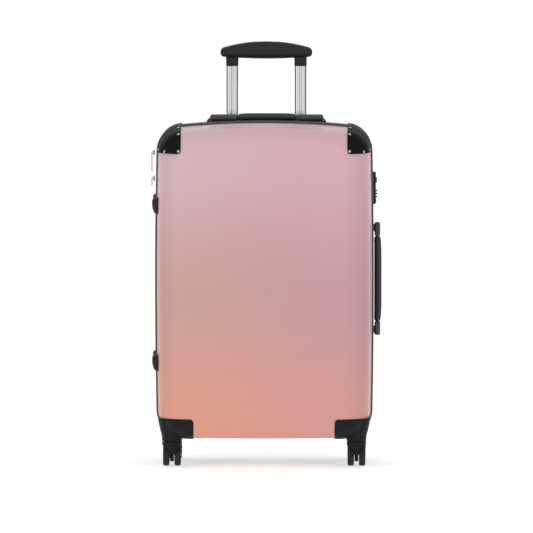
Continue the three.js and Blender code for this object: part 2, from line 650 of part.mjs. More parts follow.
// ---- zip sliders and pulls ----
function zipPulls() {
  const x = -(SIDE_X + ZIP.proud + SLIDER.out);
  const { half, pin, bore } = PULL;
  const pinX = x - 2;
  for (const place of ["upper", "lower"]) {
    const z = PULL[place];
    const long = PULL[`${place}Long`];
    const slot = box(x - 5, x + 0.6, -SLIDER.slot, SLIDER.slot, z - 6, z + 8);
    const slider = bar("z", SLIDER.r, SLIDER.long, x, 0, z + 1, 12).subtract(slot);
    part(`zip_slider_${place}`, slider.add(bar("y", pin, 6.4, pinX, 0, z, 8)), MATERIAL.steel);
    const blade = new THREE.Shape();
    blade.moveTo(-half, -long);
    blade.lineTo(half, -long);
    blade.lineTo(half, 2);
    blade.lineTo(-half, 2);
    const flat = toSolid(extrudeX(blade, pinX - 1.3, pinX + 1.1).translate(0, 0, z));
    part(`zip_pull_${place}`, flat.subtract(bar("y", bore, 8, pinX, 0, z, 8)), MATERIAL.steel);
  }
}

frontHalf();
backHalf();
hingeGusset();
for (const half of ["front", "back"]) {
  cornerGuards(half);
  wheelHousings(half);
  sideFeet(half);
}
casters();
trolley();
carryHandle("top_handle", 0, [CARRY.x, CARRY.y, TOP_Z - SINK], SINK + 0.9, SOFT.top);
carryHandle("side_handle", 90, [SIDE_X, CARRY.y, HANDLE_Z], 1.6, SOFT.side);
lock();
zipPulls();

export default suitcase;
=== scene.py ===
"""Hard shell suitcase on double spinner casters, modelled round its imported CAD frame. Metres, +Z up."""
import math

import bmesh
import bpy
from bpy.props import FloatProperty, FloatVectorProperty, IntProperty, PointerProperty
from mathutils import Matrix, Vector
from mathutils.bvhtree import BVHTree


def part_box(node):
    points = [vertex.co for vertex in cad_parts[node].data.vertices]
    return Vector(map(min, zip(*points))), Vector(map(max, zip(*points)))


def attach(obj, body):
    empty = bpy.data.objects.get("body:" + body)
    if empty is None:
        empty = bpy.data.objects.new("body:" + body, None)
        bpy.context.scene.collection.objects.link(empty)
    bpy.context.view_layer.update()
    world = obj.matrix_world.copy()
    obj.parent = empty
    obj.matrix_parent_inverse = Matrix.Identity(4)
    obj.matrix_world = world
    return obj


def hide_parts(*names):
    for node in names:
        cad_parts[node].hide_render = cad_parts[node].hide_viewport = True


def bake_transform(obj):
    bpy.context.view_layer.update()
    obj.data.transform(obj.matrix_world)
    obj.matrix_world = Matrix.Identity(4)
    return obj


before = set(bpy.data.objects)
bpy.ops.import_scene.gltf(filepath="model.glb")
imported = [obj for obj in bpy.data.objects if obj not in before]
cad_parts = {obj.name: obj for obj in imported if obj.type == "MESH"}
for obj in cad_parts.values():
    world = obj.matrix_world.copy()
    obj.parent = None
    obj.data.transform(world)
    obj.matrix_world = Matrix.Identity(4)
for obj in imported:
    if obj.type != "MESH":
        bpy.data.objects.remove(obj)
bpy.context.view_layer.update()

bl_info = {
    "name": "Hard Shell Suitcase",
    "version": (1, 0, 0),
    "blender": (4, 5, 0),
    "location": "View3D > Sidebar > Suitcase",
    "description": "Builds a hard shell suitcase piece by piece round its CAD frame",
    "category": "Object",
}

MM = 0.001
HALVES = {"front": -1, "back": 1}
SIDES = {"left": -1, "right": 1}
SHARP = 38  # edges over this angle stay sharp, in degrees
CORNER_SHRINK = 0.35  # how much an inset outline's corners tighten
LEAST_CORNER = 8 * MM
CORNER_STEPS, WALL_STEPS, EDGE_STEPS, DOME_STEPS, PATCH_STEPS = 14, 5, 14, 7, 7
DRAFT = {"front": 4 * MM, "back": 1 * MM}  # how far a half narrows from its rim to its face
DOME_REACH = 60 * MM  # how far in the face's dome rises
PATCH_START = 16.2 * MM  # depth where guards and housings start, clear of the zip
WHEEL_RADIUS = 22 * MM
TRAIL = 14 * MM  # how far an axle stands from its caster's kingpin
HANDLE_TOP = 15 * MM  # a carry handle's top over the case
LOCK_FACE = 208.15 * MM


def middle(name):
    """Middle of a CAD node's box."""
    low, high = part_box(name)
    return (low + high) / 2


SHELL_LOW, SHELL_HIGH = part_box("front_shell")
RIM = SHELL_HIGH.y  # depth where the front shell's wall starts, negative
CASE_X = (SHELL_LOW.x + SHELL_HIGH.x) / 2
HALF_WIDTH = (SHELL_HIGH.x - SHELL_LOW.x) / 2
MIDDLE_Z = (SHELL_LOW.z + SHELL_HIGH.z) / 2
TUBE_Y = middle("inner_tube_left").y
HANDLE_Y = middle("top_handle_frame").y


# ---------------------------------------------------------------- settings


def length_setting(name, description, size):
    return FloatProperty(name=name, description=description, default=size, unit="LENGTH")


def angle_setting(name, description, degrees):
    return FloatProperty(name=name, description=description, default=math.radians(degrees), subtype="ANGLE")


def colour_setting(name, description, colour):
    return FloatVectorProperty(name=name, description=description, default=colour, subtype="COLOR")


class SuitcaseCaseSettings(bpy.types.PropertyGroup):
    """Sizes of the two shells and of what wraps round them."""

    corner_top: length_setting("Top Corner", "Outline radius at the top", 42 * MM)
    corner_base: length_setting("Base Corner", "Outline radius at the base", 50 * MM)
    bow_side: length_setting("Side Bow", "How far the sides curve out", 3.5 * MM)
    bow_top: length_setting("Top Bow", "How far the top curves out", 12 * MM)
    bow_base: length_setting("Base Bow", "How far the base curves out", 1.7 * MM)
    dome: length_setting("Dome", "Height of the face's dome", 2.5 * MM)
    wall: length_setting("Wall", "Shell thickness", 2.6 * MM)
    across: length_setting("Rounding Across", "Edge rounding across the face", 58 * MM)
    deep: length_setting("Rounding Deep", "Edge rounding along the depth", 52 * MM)
    ends: length_setting("End Rounding", "Rounding at the top and base", 24 * MM)
    guard: length_setting("Guard", "Corner guard thickness", 2.2 * MM)
    cap: length_setting("Wheel Cap", "How far the wheel housing stands off the shell", 1.9 * MM)
    teeth: IntProperty(name="Zip Teeth", description="Teeth on each zip tape", default=620, min=100)
    ribs: IntProperty(name="Ribs", description="Raised ribs on the back shell", default=9, min=0)


class SuitcaseColourSettings(bpy.types.PropertyGroup):
    """Colours of the print, which also carry painted shade and painted highlight, and of the plain
    materials, in linear light.
    """

    # The six print colours were fitted at six points, top, middle and low on the left and right, until the
    # rendered brightness there matched the measured values. Besides the print's own gradient, they hold
    # painted shade and painted highlight.
    print_top_left: colour_setting("Print Top Left", "Print colour", (0.601, 0.409, 0.437))
    print_top_right: colour_setting("Print Top Right", "Print colour", (0.617, 0.376, 0.417))
    print_mid_left: colour_setting("Print Middle Left", "Print colour", (0.562, 0.319, 0.293))
    print_mid_right: colour_setting("Print Middle Right", "Print colour", (0.546, 0.296, 0.319))
    print_low_left: colour_setting("Print Low Left", "Print colour", (0.685, 0.314, 0.224))
    print_low_right: colour_setting("Print Low Right", "Print colour", (0.647, 0.303, 0.272))
    black: colour_setting("Black Plastic", "Moulded parts", (0.009, 0.0093, 0.0098))
    shell_black: colour_setting("Back Shell", "Back shell", (0.012, 0.0125, 0.0135))


class SuitcaseStageSettings(bpy.types.PropertyGroup):
    """Camera and light."""

    azimuth: angle_setting("Azimuth", "Camera angle to the right", 0.45)
    elevation: angle_setting("Elevation", "Camera angle above the horizon", 4.0)
    distance: length_setting("Distance", "Camera to suitcase", 36.0)
    width: length_setting("Framed Width", "Width seen at the suitcase", 1.0127)
    look_x: length_setting("Look At X", "Aim point", 0.35 * MM)
    look_z: length_setting("Look At Z", "Aim point", 374 * MM)
    horizon: FloatProperty(name="Horizon", description="Brightness of the studio at eye level", default=0.95)
    zenith: FloatProperty(name="Zenith", description="Brightness of the studio overhead", default=1.05)
    sides: FloatProperty(name="Sides", description="Share of the light left at the two sides", default=0.10)
    key: FloatProperty(name="Key", description="Power of the panel on the left", default=10.0, unit="POWER")
    fill: FloatProperty(name="Fill", description="Power of the panel in front", default=5.0, unit="POWER")
    glow: FloatProperty(name="Floor Glow", description="Light that the floor gives off", default=0.56)


# ---------------------------------------------------------------- mesh helpers


def superellipse(half_a, half_b, power, count):
    """Points round a rounded section, as pairs."""
    points = []
    for k in range(count):
        a = 2 * math.pi * k / count
        c, s = math.cos(a), math.sin(a)
        across, up = math.copysign(abs(c) ** power, c), math.copysign(abs(s) ** power, s)
        points.append((half_a * across, half_b * up))
    return points


def ring_edges(bm, ring):
    """The edges of a closed ring of vertices."""
    return [bm.edges.get((a, b)) for a, b in zip(ring, ring[1:] + ring[:1])]


def extrude_ring(bm, ring, points):
    """Extrudes a closed ring of vertices and moves the new ring to points."""
    made = bmesh.ops.extrude_edge_only(bm, edges=ring_edges(bm, ring))["geom"]
    fresh = {v for v in made if isinstance(v, bmesh.types.BMVert)}
    following = [next(e.other_vert(v) for e in v.link_edges if e.other_vert(v) in fresh) for v in ring]
    for vertex, point in zip(following, points):
        vertex.co = point
    return following


def loft(bm, rows, cap_first=False, cap_last=False, close=False):
    """Skins rows of points, each a closed ring, by extruding a circle from row to row."""
    ring = bmesh.ops.create_circle(bm, segments=len(rows[0]), radius=1)["verts"]
    for vertex, point in zip(ring, rows[0]):
        vertex.co = point
    first = ring
    for row in rows[1:]:
        ring = extrude_ring(bm, ring, row)
    if cap_first:
        bmesh.ops.edgeloop_fill(bm, edges=ring_edges(bm, first))
    if cap_last:
        bmesh.ops.edgeloop_fill(bm, edges=ring_edges(bm, ring))
    if close:
        bmesh.ops.bridge_loops(bm, edges=ring_edges(bm, first) + ring_edges(bm, ring))
    return bm


def block(bm, low, high, bevel=0.0, segments=3):
    """A box between two corners, with its edges rounded."""
    low, high = Vector(low), Vector(high)
    place = Matrix.Translation((low + high) / 2) @ Matrix.Diagonal((*(high - low), 1))
    verts = bmesh.ops.create_cube(bm, size=1, matrix=place)["verts"]
    if bevel:
        edges = list({e for v in verts for e in v.link_edges})
        bmesh.ops.bevel(
            bm, geom=edges, offset=bevel, affect="EDGES", segments=segments, profile=0.5, material=-1
        )
    return bm


def round_bar(bm, radius, length, matrix, segments=24, bevel=0.0):
    """A round bar along its own Z, its two end edges rounded."""
    made = bmesh.ops.create_cone(
        bm, cap_ends=True, segments=segments, radius1=radius, radius2=radius, depth=length, matrix=matrix
    )["verts"]
    if bevel:
        edges = {e for v in made for e in v.link_edges}
        rims = [e for e in edges if any(len(f.verts) > 4 for f in e.link_faces)]
        bmesh.ops.bevel(bm, geom=rims, offset=bevel, affect="EDGES", segments=3, profile=0.5, material=-1)
    return bm


def lathe(bm, profile, centre, axis="X", steps=48, closed=False):
    """Spins a profile of (radius, along) pairs a full turn about an axis through centre."""
    centre = Vector(centre)
    along = Vector((1, 0, 0)) if axis == "X" else Vector((0, 0, 1))
    out = Vector((0, 0, 1)) if axis == "X" else Vector((1, 0, 0))
    verts = [bm.verts.new(centre + out * r + along * a) for r, a in profile]
    pairs = list(zip(verts, verts[1:])) + ([(verts[-1], verts[0])] if closed else [])
    edges = [bm.edges.new(pair) for pair in pairs]
    bmesh.ops.spin(
        bm, geom=verts + edges, cent=centre, axis=along, angle=2 * math.pi, steps=steps, use_merge=True
    )
    bmesh.ops.remove_doubles(bm, verts=bm.verts, dist=0.00001)
    return bm


def turn_axis(to):
    """Turns Z to X or to Y."""
    return Matrix.Rotation(math.pi / 2, 4, {"X": "Y", "Y": "X"}[to])


def solid_block(low, high, bevel=0.0, segments=3):
    """A box as a bmesh of its own."""
    return block(bmesh.new(), low, high, bevel, segments)


def solid_loft(rows):
    """Rows of points skinned and capped, as a bmesh of its own."""
    return loft(bmesh.new(), rows, cap_first=True, cap_last=True)


def shade(mesh, sharp):
    """Smooth shading with the edges over an angle kept sharp."""
    mesh.shade_smooth()
    mesh.set_sharp_from_angle(angle=math.radians(sharp))


def piece(bm, name, material, body, replaces=(), sharp=SHARP):
    """Turns a bmesh into a finished piece that rides on a CAD body."""
    bmesh.ops.recalc_face_normals(bm, faces=bm.faces)
    mesh = bpy.data.meshes.new(name)
    bm.to_mesh(mesh)
    bm.free()
    mesh.materials.append(material)
    shade(mesh, sharp)
    made = bpy.data.objects.new(name, mesh)
    bpy.context.scene.collection.objects.link(made)
    if body:
        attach(made, body)
    if replaces:
        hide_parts(*replaces)
    return made


def solidify(made, thickness, offset=-1.0):
    """Gives a skin its wall, inwards unless the offset says otherwise."""
    modifier = made.modifiers.new("Wall", "SOLIDIFY")
    modifier.thickness = thickness
    modifier.offset = offset
    modifier.use_even_offset = True


def soften(made, width):
    """Rounds a piece's sharp edges."""
    modifier = made.modifiers.new("Soft Edges", "BEVEL")
    modifier.width = width
    modifier.segments = 2
    modifier.limit_method = "ANGLE"
    modifier.angle_limit = math.radians(35)
    modifier.harden_normals = True


def settle(made, sharp=SHARP):
    """Makes the modifiers' result the piece's own mesh."""
    evaluated = made.evaluated_get(bpy.context.evaluated_depsgraph_get())
    mesh = bpy.data.meshes.new_from_object(evaluated)
    made.modifiers.clear()
    made.data = mesh
    mesh.name = made.name
    shade(mesh, sharp)


def cut(made, cutter_bm, sharp=SHARP):
    """Takes a closed bmesh away from a piece."""
    bmesh.ops.recalc_face_normals(cutter_bm, faces=cutter_bm.faces)
    mesh = bpy.data.meshes.new("cutter")
    cutter_bm.to_mesh(mesh)
    cutter_bm.free()
    cutter = bpy.data.objects.new("cutter", mesh)
    bpy.context.scene.collection.objects.link(cutter)
    modifier = made.modifiers.new("Cut", "BOOLEAN")
    modifier.operation = "DIFFERENCE"
    modifier.solver = "EXACT"
    modifier.object = cutter
    settle(made, sharp)
    bpy.data.objects.remove(cutter)
    bpy.data.meshes.remove(mesh)


# ---------------------------------------------------------------- the case's outline


def outline(side_inset, end_inset, y):
    """The case's outline at a depth: a rounded rectangle with bowed sides, inset by side and by end."""
    case = bpy.context.scene.suitcase_case
    a = HALF_WIDTH - case.bow_side - side_inset
    bottom, top = SHELL_LOW.z + case.bow_base, SHELL_HIGH.z - case.bow_top
    b = (top - bottom) / 2 - end_inset
    centre_z = (top + bottom) / 2
    shrink = CORNER_SHRINK * (side_inset + end_inset)
    corner_radii = ((1, case.corner_top), (-1, case.corner_base))
    radii = {sign: max(radius - shrink, LEAST_CORNER) for sign, radius in corner_radii}
    corners = [(1, 1, 16), (1, -1, 12), (-1, -1, 16), (-1, 1, 12)]  # signs, and points on the side after it

    def on_arc(sx, sz, angle):
        r = radii[sz]
        return sx * (a - r) + r * math.cos(angle), sz * (b - r) + r * math.sin(angle)

    points = []
    for i, (sx, sz, between) in enumerate(corners):
        start = math.pi / 2 - i * math.pi / 2
        points += [on_arc(sx, sz, start - k / CORNER_STEPS * math.pi / 2) for k in range(CORNER_STEPS + 1)]
        origin = points[-1]
        to = on_arc(*corners[(i + 1) % 4][:2], start - math.pi / 2)
        for k in range(1, between + 1):
            t = k / (between + 1)
            points.append((origin[0] + (to[0] - origin[0]) * t, origin[1] + (to[1] - origin[1]) * t))
    placed = []
    for x, z in points:
        u, w = x / a, z / b
        out = case.bow_side * u * (1 - w * w)
        up = (case.bow_top if w > 0 else case.bow_base) * w * (1 - u * u)
        placed.append(Vector((CASE_X + x + out, y, centre_z + z + up)))
    return placed


def half_rows(half, grow=0.0, dome=None):
    """Rings from the rim to the middle of a half's face, grown outwards."""
    case = bpy.context.scene.suitcase_case
    sign, draft = HALVES[half], DRAFT[half]
    rim, depth = -RIM, -SHELL_LOW.y - case.dome
    dome = case.dome if dome is None else dome
    start = depth - case.deep
    rows = []
    for i in range(WALL_STEPS):
        t = i / WALL_STEPS
        inset = draft * t - grow
        rows.append(outline(inset, inset, sign * (rim + (start - rim) * t)))
    for i in range(EDGE_STEPS + 1):
        a = i / EDGE_STEPS * math.pi / 2
        y = start + (case.deep + grow) * math.sin(a)
        rise = min(max((y - depth + case.ends) / (case.ends + grow), 0), 1)
        side = draft + case.across - (case.across + grow) * math.cos(a)
        end = draft + case.ends - (case.ends + grow) * math.sqrt(1 - rise * rise)
        rows.append(outline(side, end, sign * y))
    for i in range(1, DOME_STEPS + 1):
        t = i / DOME_STEPS
        y = depth + grow + dome * (3 * t * t - 2 * t ** 3)
        reach = DOME_REACH * t
        rows.append(outline(draft + case.across + reach, draft + case.ends + reach, sign * y))
    return rows


def body_solid(half, grow=0.1 * MM):
    """A half of the case as a filled solid, to cut what is fixed to it."""
    return solid_loft(half_rows(half, grow))


def outline_ring(profile, sign):
    """A closed band round the outline: profile is a ring of (grow, depth) pairs."""
    return loft(bmesh.new(), [outline(-grow, -grow, sign * y) for grow, y in profile], close=True)


def clip(bm, point, normal):
    """Cuts off what lies beyond a plane."""
    geom = bm.verts[:] + bm.edges[:] + bm.faces[:]
    bmesh.ops.bisect_plane(bm, geom=geom, plane_co=point, plane_no=normal, clear_outer=True)


def corner_patch(half, side, grow, across, edge_z, radius, upper):
    """The skin over one corner of a half, its inner corner rounded as seen from the front."""
    bm = loft(bmesh.new(), half_rows(half, grow))
    sx, sz, sy = SIDES[side], 1 if upper else -1, HALVES[half]
    inner_x = CASE_X + sx * (HALF_WIDTH - across)
    clip(bm, (0, sy * PATCH_START, 0), (0, -sy, 0))
    clip(bm, (inner_x, 0, 0), (-sx, 0, 0))
    clip(bm, (0, 0, edge_z), (0, 0, -sz))
    centre = Vector((inner_x + sx * radius, 0, edge_z + sz * radius))
    for k in range(1, PATCH_STEPS):
        a = k / PATCH_STEPS * math.pi / 2
        normal = Vector((-sx * math.cos(a), 0, -sz * math.sin(a)))
        clip(bm, centre + normal * radius, normal)
    bmesh.ops.remove_doubles(bm, verts=bm.verts, dist=0.35 * MM)
    return bm


# ---------------------------------------------------------------- materials


def principled(name, color, roughness, metallic=0.0, coat=0.0, coat_roughness=0.05, specular=0.5):
    """A material with its even values on the shader's own sockets."""
    made = bpy.data.materials.get(name)
    if made:
        return made, None
    made = bpy.data.materials.new(name)
    made.use_nodes = True
    shader = made.node_tree.nodes["Principled BSDF"]
    shader.inputs["Base Color"].default_value = (*color, 1)
    shader.inputs["Roughness"].default_value = roughness
    shader.inputs["Metallic"].default_value = metallic
    shader.inputs["Coat Weight"].default_value = coat
    shader.inputs["Coat Roughness"].default_value = coat_roughness
    shader.inputs["Specular IOR Level"].default_value = specular
    made.diffuse_color = (*color, 1)
    return made, shader


def node(shader, kind, **values):
    """A node in the shader's tree, its inputs or attributes set by name."""
    made = shader.id_data.nodes.new(kind)
    for name, value in values.items():
        if name in made.inputs:
            made.inputs[name].default_value = value
        else:
            setattr(made, name, value)
    return made


def link(shader, out, into):
    """Joins two sockets in the shader's tree."""
    shader.id_data.links.new(out, into)


def calculate(shader, operation, *values):
    """A maths node fed by sockets or numbers."""
    made = node(shader, "ShaderNodeMath", operation=operation)
    for into, value in zip(made.inputs, values):
        if isinstance(value, (int, float)):
            into.default_value = value
        else:
            link(shader, value, into)
    return made.outputs["Value"]


def map_range(shader, value, start=(0, 1), end=(0, 1), easing="LINEAR"):
    """Carries a value from one range to another."""
    made = node(shader, "ShaderNodeMapRange", interpolation_type=easing)
    for name, number in zip(("From Min", "From Max", "To Min", "To Max"), (*start, *end)):
        made.inputs[name].default_value = number
    link(shader, value, made.inputs["Value"])
    return made.outputs["Result"]


def noise(shader, vector, scale, detail, roughness=0.5):
    """A noise texture's value."""
    made = node(shader, "ShaderNodeTexNoise", Scale=scale, Detail=detail, Roughness=roughness)
    link(shader, vector, made.inputs["Vector"])
    return made.outputs["Fac"]


def bump(shader, height, distance, strength=1.0):
    """Bump on the shader's own normal."""
    made = node(shader, "ShaderNodeBump", Distance=distance, Strength=strength)
    link(shader, height, made.inputs["Height"])
    link(shader, made.outputs["Normal"], shader.inputs["Normal"])
    return made


def ramp(shader, value, stops, easing="LINEAR"):
    """A colour ramp through (position, colour) stops."""
    made = node(shader, "ShaderNodeValToRGB")
    made.color_ramp.interpolation = easing
    for _ in stops[2:]:
        made.color_ramp.elements.new(0.5)
    for element, (position, color) in zip(made.color_ramp.elements, stops):
        element.position = position
        element.color = (*color, 1)
    link(shader, value, made.inputs["Fac"])
    return made.outputs["Color"]


def object_coordinates(shader, scale=(1, 1, 1)):
    """The piece's own coordinates, stretched by a scale."""
    where = node(shader, "ShaderNodeTexCoord")
    mapping = node(shader, "ShaderNodeMapping", Scale=scale)
    link(shader, where.outputs["Object"], mapping.inputs["Vector"])
    return mapping.outputs["Vector"]


def grain(shader, scale, depth, stretch=(1, 1, 1), spread=None, tone=None):
    """Surface grain: noise as bump, and as a spread of roughness and of tone if asked."""
    vector = object_coordinates(shader, stretch)
    fine = noise(shader, vector, scale, 3.0, 0.6)
    bump(shader, fine, depth)
    if spread:
        broad = noise(shader, vector, scale / 40, 4.0)
        link(shader, map_range(shader, broad, end=spread), shader.inputs["Roughness"])
    if tone:
        toned = ramp(shader, fine, [(0.3, tone[0]), (0.7, tone[1])])
        link(shader, toned, shader.inputs["Base Color"])


def printed_gloss():
    """The front's print: a soft gradient across and down, partly the print's own colour and partly painted
    shade and painted highlight, under a clear gloss.
    """
    colours = bpy.context.scene.suitcase_colours
    made, shader = principled(
        "printed_gloss", colours.print_mid_left, 0.45, coat=0.25, coat_roughness=0.12, specular=0.2
    )
    if not shader:
        return made
    where = node(shader, "ShaderNodeTexCoord").outputs["Object"]
    split = node(shader, "ShaderNodeSeparateXYZ")
    link(shader, where, split.inputs["Vector"])
    wander = calculate(shader, "MULTIPLY_ADD", noise(shader, where, 3.0, 1.0), 0.09, split.outputs["Z"])
    up = map_range(shader, wander, start=(SHELL_LOW.z, SHELL_HIGH.z))
    edge = 0.8 * HALF_WIDTH
    across = map_range(shader, split.outputs["X"], start=(CASE_X - edge, CASE_X + edge), easing="SMOOTHSTEP")
    mix = node(shader, "ShaderNodeMix", data_type="RGBA")
    link(shader, across, mix.inputs[0])
    for column, into in (("left", mix.inputs[6]), ("right", mix.inputs[7])):
        levels = ((0.10, "low"), (0.52, "mid"), (0.98, "top"))
        stops = [(position, getattr(colours, f"print_{level}_{column}")) for position, level in levels]
        link(shader, ramp(shader, up, stops, easing="EASE"), into)
    link(shader, mix.outputs[2], shader.inputs["Base Color"])
    slow = bump(shader, noise(shader, where, 9.0, 2.0), 0.4 * MM)
    peel = bump(shader, noise(shader, where, 900.0, 2.0), 0.004 * MM)
    link(shader, slow.outputs["Normal"], peel.inputs["Normal"])
    return made


def shell_black():
    """The back shell's moulded black."""
    colours = bpy.context.scene.suitcase_colours
    made, shader = principled("shell_black", colours.shell_black, 0.34, coat=0.25, coat_roughness=0.18)
    if shader:
        grain(shader, 1800, 0.03 * MM, spread=(0.28, 0.44))
    return made


def satin_black():
    """The moulded parts' black."""
    colours = bpy.context.scene.suitcase_colours
    made, shader = principled("satin_black", colours.black, 0.42, specular=0.28)
    if shader:
        low, high = (tuple(c * share for c in colours.black) for share in (0.8, 1.35))
        grain(shader, 1300, 0.05 * MM, spread=(0.36, 0.52), tone=(low, high))
    return made


PLAIN = {  # the shader's even values, then its grain
    "matt_black": (
        dict(color=(0.0065, 0.0067, 0.0070), roughness=0.6, specular=0.05),
        dict(scale=1100, depth=0.06 * MM, spread=(0.54, 0.68),
             tone=((0.004, 0.004, 0.0045), (0.010, 0.0102, 0.0106))),
    ),
    "handle_grey": (
        dict(color=(0.062, 0.062, 0.063), roughness=0.40, specular=0.4),
        dict(scale=1400, depth=0.04 * MM, spread=(0.34, 0.5),
             tone=((0.050, 0.050, 0.051), (0.076, 0.076, 0.077))),
    ),
    "charcoal_satin": (
        dict(color=(0.007, 0.0072, 0.0076), roughness=0.48, specular=0.16),
        dict(scale=1500, depth=0.03 * MM, spread=(0.40, 0.55)),
    ),
    # The soft rubber's base colour was raised towards a highlight line along the top grip, so it is partly
    # the rubber's own grey and partly a painted highlight.
    "soft_rubber": (
        dict(color=(0.028, 0.028, 0.029), roughness=0.52, specular=0.45),
        dict(scale=2200, depth=0.05 * MM, spread=(0.46, 0.62)),
    ),
    "tyre_rubber": (
        dict(color=(0.011, 0.011, 0.0115), roughness=0.68, specular=0.3),
        dict(scale=1600, depth=0.06 * MM, spread=(0.58, 0.8),
             tone=((0.008, 0.008, 0.0085), (0.018, 0.018, 0.0185))),
    ),
    "drawn_aluminium": (
        dict(color=(0.60, 0.61, 0.62), roughness=0.24, metallic=1.0),
        dict(scale=2600, depth=0.004 * MM, stretch=(1, 1, 0.01), spread=(0.17, 0.30)),
    ),
    "bright_steel": (
        dict(color=(0.50, 0.50, 0.51), roughness=0.24, metallic=1.0),
        dict(scale=900, depth=0.004 * MM, spread=(0.16, 0.30)),
    ),
    "red_enamel": (
        dict(color=(0.50, 0.012, 0.015), roughness=0.30, coat=0.5),
        dict(scale=1500, depth=0.01 * MM, spread=(0.25, 0.36)),
    ),
    "white_ink": (
        dict(color=(0.75, 0.75, 0.73), roughness=0.5),
        dict(scale=2500, depth=0.005 * MM, spread=(0.45, 0.6)),
    ),
}


def plain(name):
    """One of the plain materials, made when first asked for."""
    even, surface = PLAIN[name]
    made, shader = principled(name, **even)
    if shader:
        grain(shader, **surface)
    return made


def woven(name, color, light, pitch):
    """Plain weave: crossing threads as bump and tone."""
    made, shader = principled(name, color, 0.9, specular=0.25)
    if not shader:
        return made
    shader.inputs["Sheen Weight"].default_value = 0.3
    shader.inputs["Sheen Roughness"].default_value = 0.5
    vector = object_coordinates(shader)
    waves = []
    for direction in "XYZ":
        wave = node(shader, "ShaderNodeTexWave", Scale=1 / pitch / 20, Distortion=0.6, Detail=1.0)
        wave.bands_direction = direction
        link(shader, vector, wave.inputs["Vector"])
        waves.append(wave.outputs["Fac"])
    both = calculate(shader, "ADD", waves[0], waves[1])
    height = calculate(shader, "MULTIPLY", calculate(shader, "ADD", both, waves[2]), 1 / 3)
    link(shader, ramp(shader, height, [(0, color), (1, light)]), shader.inputs["Base Color"])
    bump(shader, height, 0.15 * MM, 0.8)
    return made


def tape_weave():
    """The zip's and the straps' weave."""
    return woven("tape_weave", (0.012, 0.012, 0.013), (0.030, 0.030, 0.032), 0.9 * MM)


def lining_cloth():
    """The linings' cloth."""
    return woven("lining_cloth", (0.055, 0.055, 0.062), (0.095, 0.095, 0.105), 1.4 * MM)


# ---------------------------------------------------------------- case pieces


def build_shells():
    """The printed front shell, and the ribbed back shell with its two throats for the trolley."""
    case = bpy.context.scene.suitcase_case
    front = piece(
        loft(bmesh.new(), half_rows("front"), cap_last=True),
        "printed_front_shell", printed_gloss(), "front_case", ["front_shell"], sharp=60,
    )
    solidify(front, case.wall)
    back_bm = loft(bmesh.new(), half_rows("back", dome=0.0), cap_last=True)
    back = piece(
        back_bm, "ribbed_back_shell", shell_black(), "back_case", ["back_shell"], sharp=60
    )
    solidify(back, case.wall)
    for side in SIDES:
        cut(back, tube_throat(side), sharp=60)
    build_ribs(case)


def tube_throat(side):
    """The hole that a trolley tube and the grip's leg pass through in the back shell's top."""
    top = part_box("trolley_bezel")[1].z
    return oval_bar(f"inner_tube_{side}", (32 * MM, 20 * MM), (top - 40 * MM, top + 9 * MM))


def build_ribs(case):
    """Long shallow ribs up the back shell's face, with rounded ends."""
    face_y = -SHELL_LOW.y - case.dome
    half_long, half_wide, proud, pitch = 205 * MM, 7 * MM, 2.0 * MM, 29 * MM
    bm = bmesh.new()
    for i in range(case.ribs):
        x = CASE_X + (i - (case.ribs - 1) / 2) * pitch
        rib = bmesh.ops.create_uvsphere(bm, u_segments=16, v_segments=12, radius=1)["verts"]
        for v in rib:
            stretch = math.copysign(half_long, v.co.z) if abs(v.co.z) > 0.01 else 0
            z = MIDDLE_Z + v.co.z * half_wide + stretch
            v.co = Vector((x + v.co.x * half_wide, face_y + v.co.y * proud, z))
    piece(bm, "back_shell_ribs", shell_black(), "back_case", sharp=60)


def build_linings():
    """Cloth trays inside the halves, and straps with a buckle."""
    case = bpy.context.scene.suitcase_case
    inside = case.wall + 1.2 * MM
    front = piece(
        loft(bmesh.new(), half_rows("front", -inside), cap_last=True),
        "front_lining_cloth", lining_cloth(), "front_case", ["front_lining"], sharp=60,
    )
    solidify(front, 1.1 * MM)
    floor_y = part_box("back_lining")[1].y
    rows = [[p.copy() for p in row] for row in half_rows("back", -inside)]
    kept = [row for row in rows if row[0].y < floor_y - 6 * MM]
    last = kept[-1]
    middle_point = sum(last, Vector()) / len(last)
    for inset, above in ((0.997, 3 * MM), (0.985, 0.8 * MM), (0.96, 0), (0.5, 0)):
        row = [middle_point + (p - middle_point) * inset for p in last]
        for p in row:
            p.y = floor_y - above
        kept.append(row)
    back = piece(
        loft(bmesh.new(), kept, cap_last=True),
        "back_lining_cloth", lining_cloth(), "back_case", ["back_lining"], sharp=60,
    )
    solidify(back, 1.1 * MM)
    build_straps()


def build_straps():
    """Two crossed packing straps over the back half, with a buckle where they meet."""
    y, thick, wide, steps = 20 * MM, 1.0 * MM, 12 * MM, 40
    sag, lift = 10 * MM, 1.6 * MM  # how far a strap hangs in, and how far the upper one clears the lower
    reach_x, reach_z = HALF_WIDTH - 10 * MM, 190 * MM
    up = Vector((0, thick / 2, 0))
    for name, tilt in (("packing_strap_rising", 1), ("packing_strap_falling", -1)):
        side = Vector((-tilt * reach_z, 0, reach_x)).normalized() * wide
        rows = []
        for i in range(steps + 1):
            t = 2 * i / steps - 1
            hang = sag * (1 - t * t) + (lift if tilt > 0 else 0) * (1 - abs(t))
            point = Vector((CASE_X + t * reach_x, y + hang, MIDDLE_Z + tilt * t * reach_z))
            rows.append([point + side + up, point - side + up, point - side - up, point + side - up])
        strap = piece(solid_loft(rows), name, tape_weave(), "back_case")
    centre = Vector((CASE_X, y + 9 * MM, MIDDLE_Z))
    bm = solid_block(centre - Vector((22, 3.5, 17)) * MM, centre + Vector((22, 0.5, 17)) * MM, 3 * MM, 4)
    block(bm, centre - Vector((8, 5, 5)) * MM, centre + Vector((8, -2, 5)) * MM, 1.5 * MM, 3)
    piece(bm, "strap_buckle", satin_black(), "back_case")


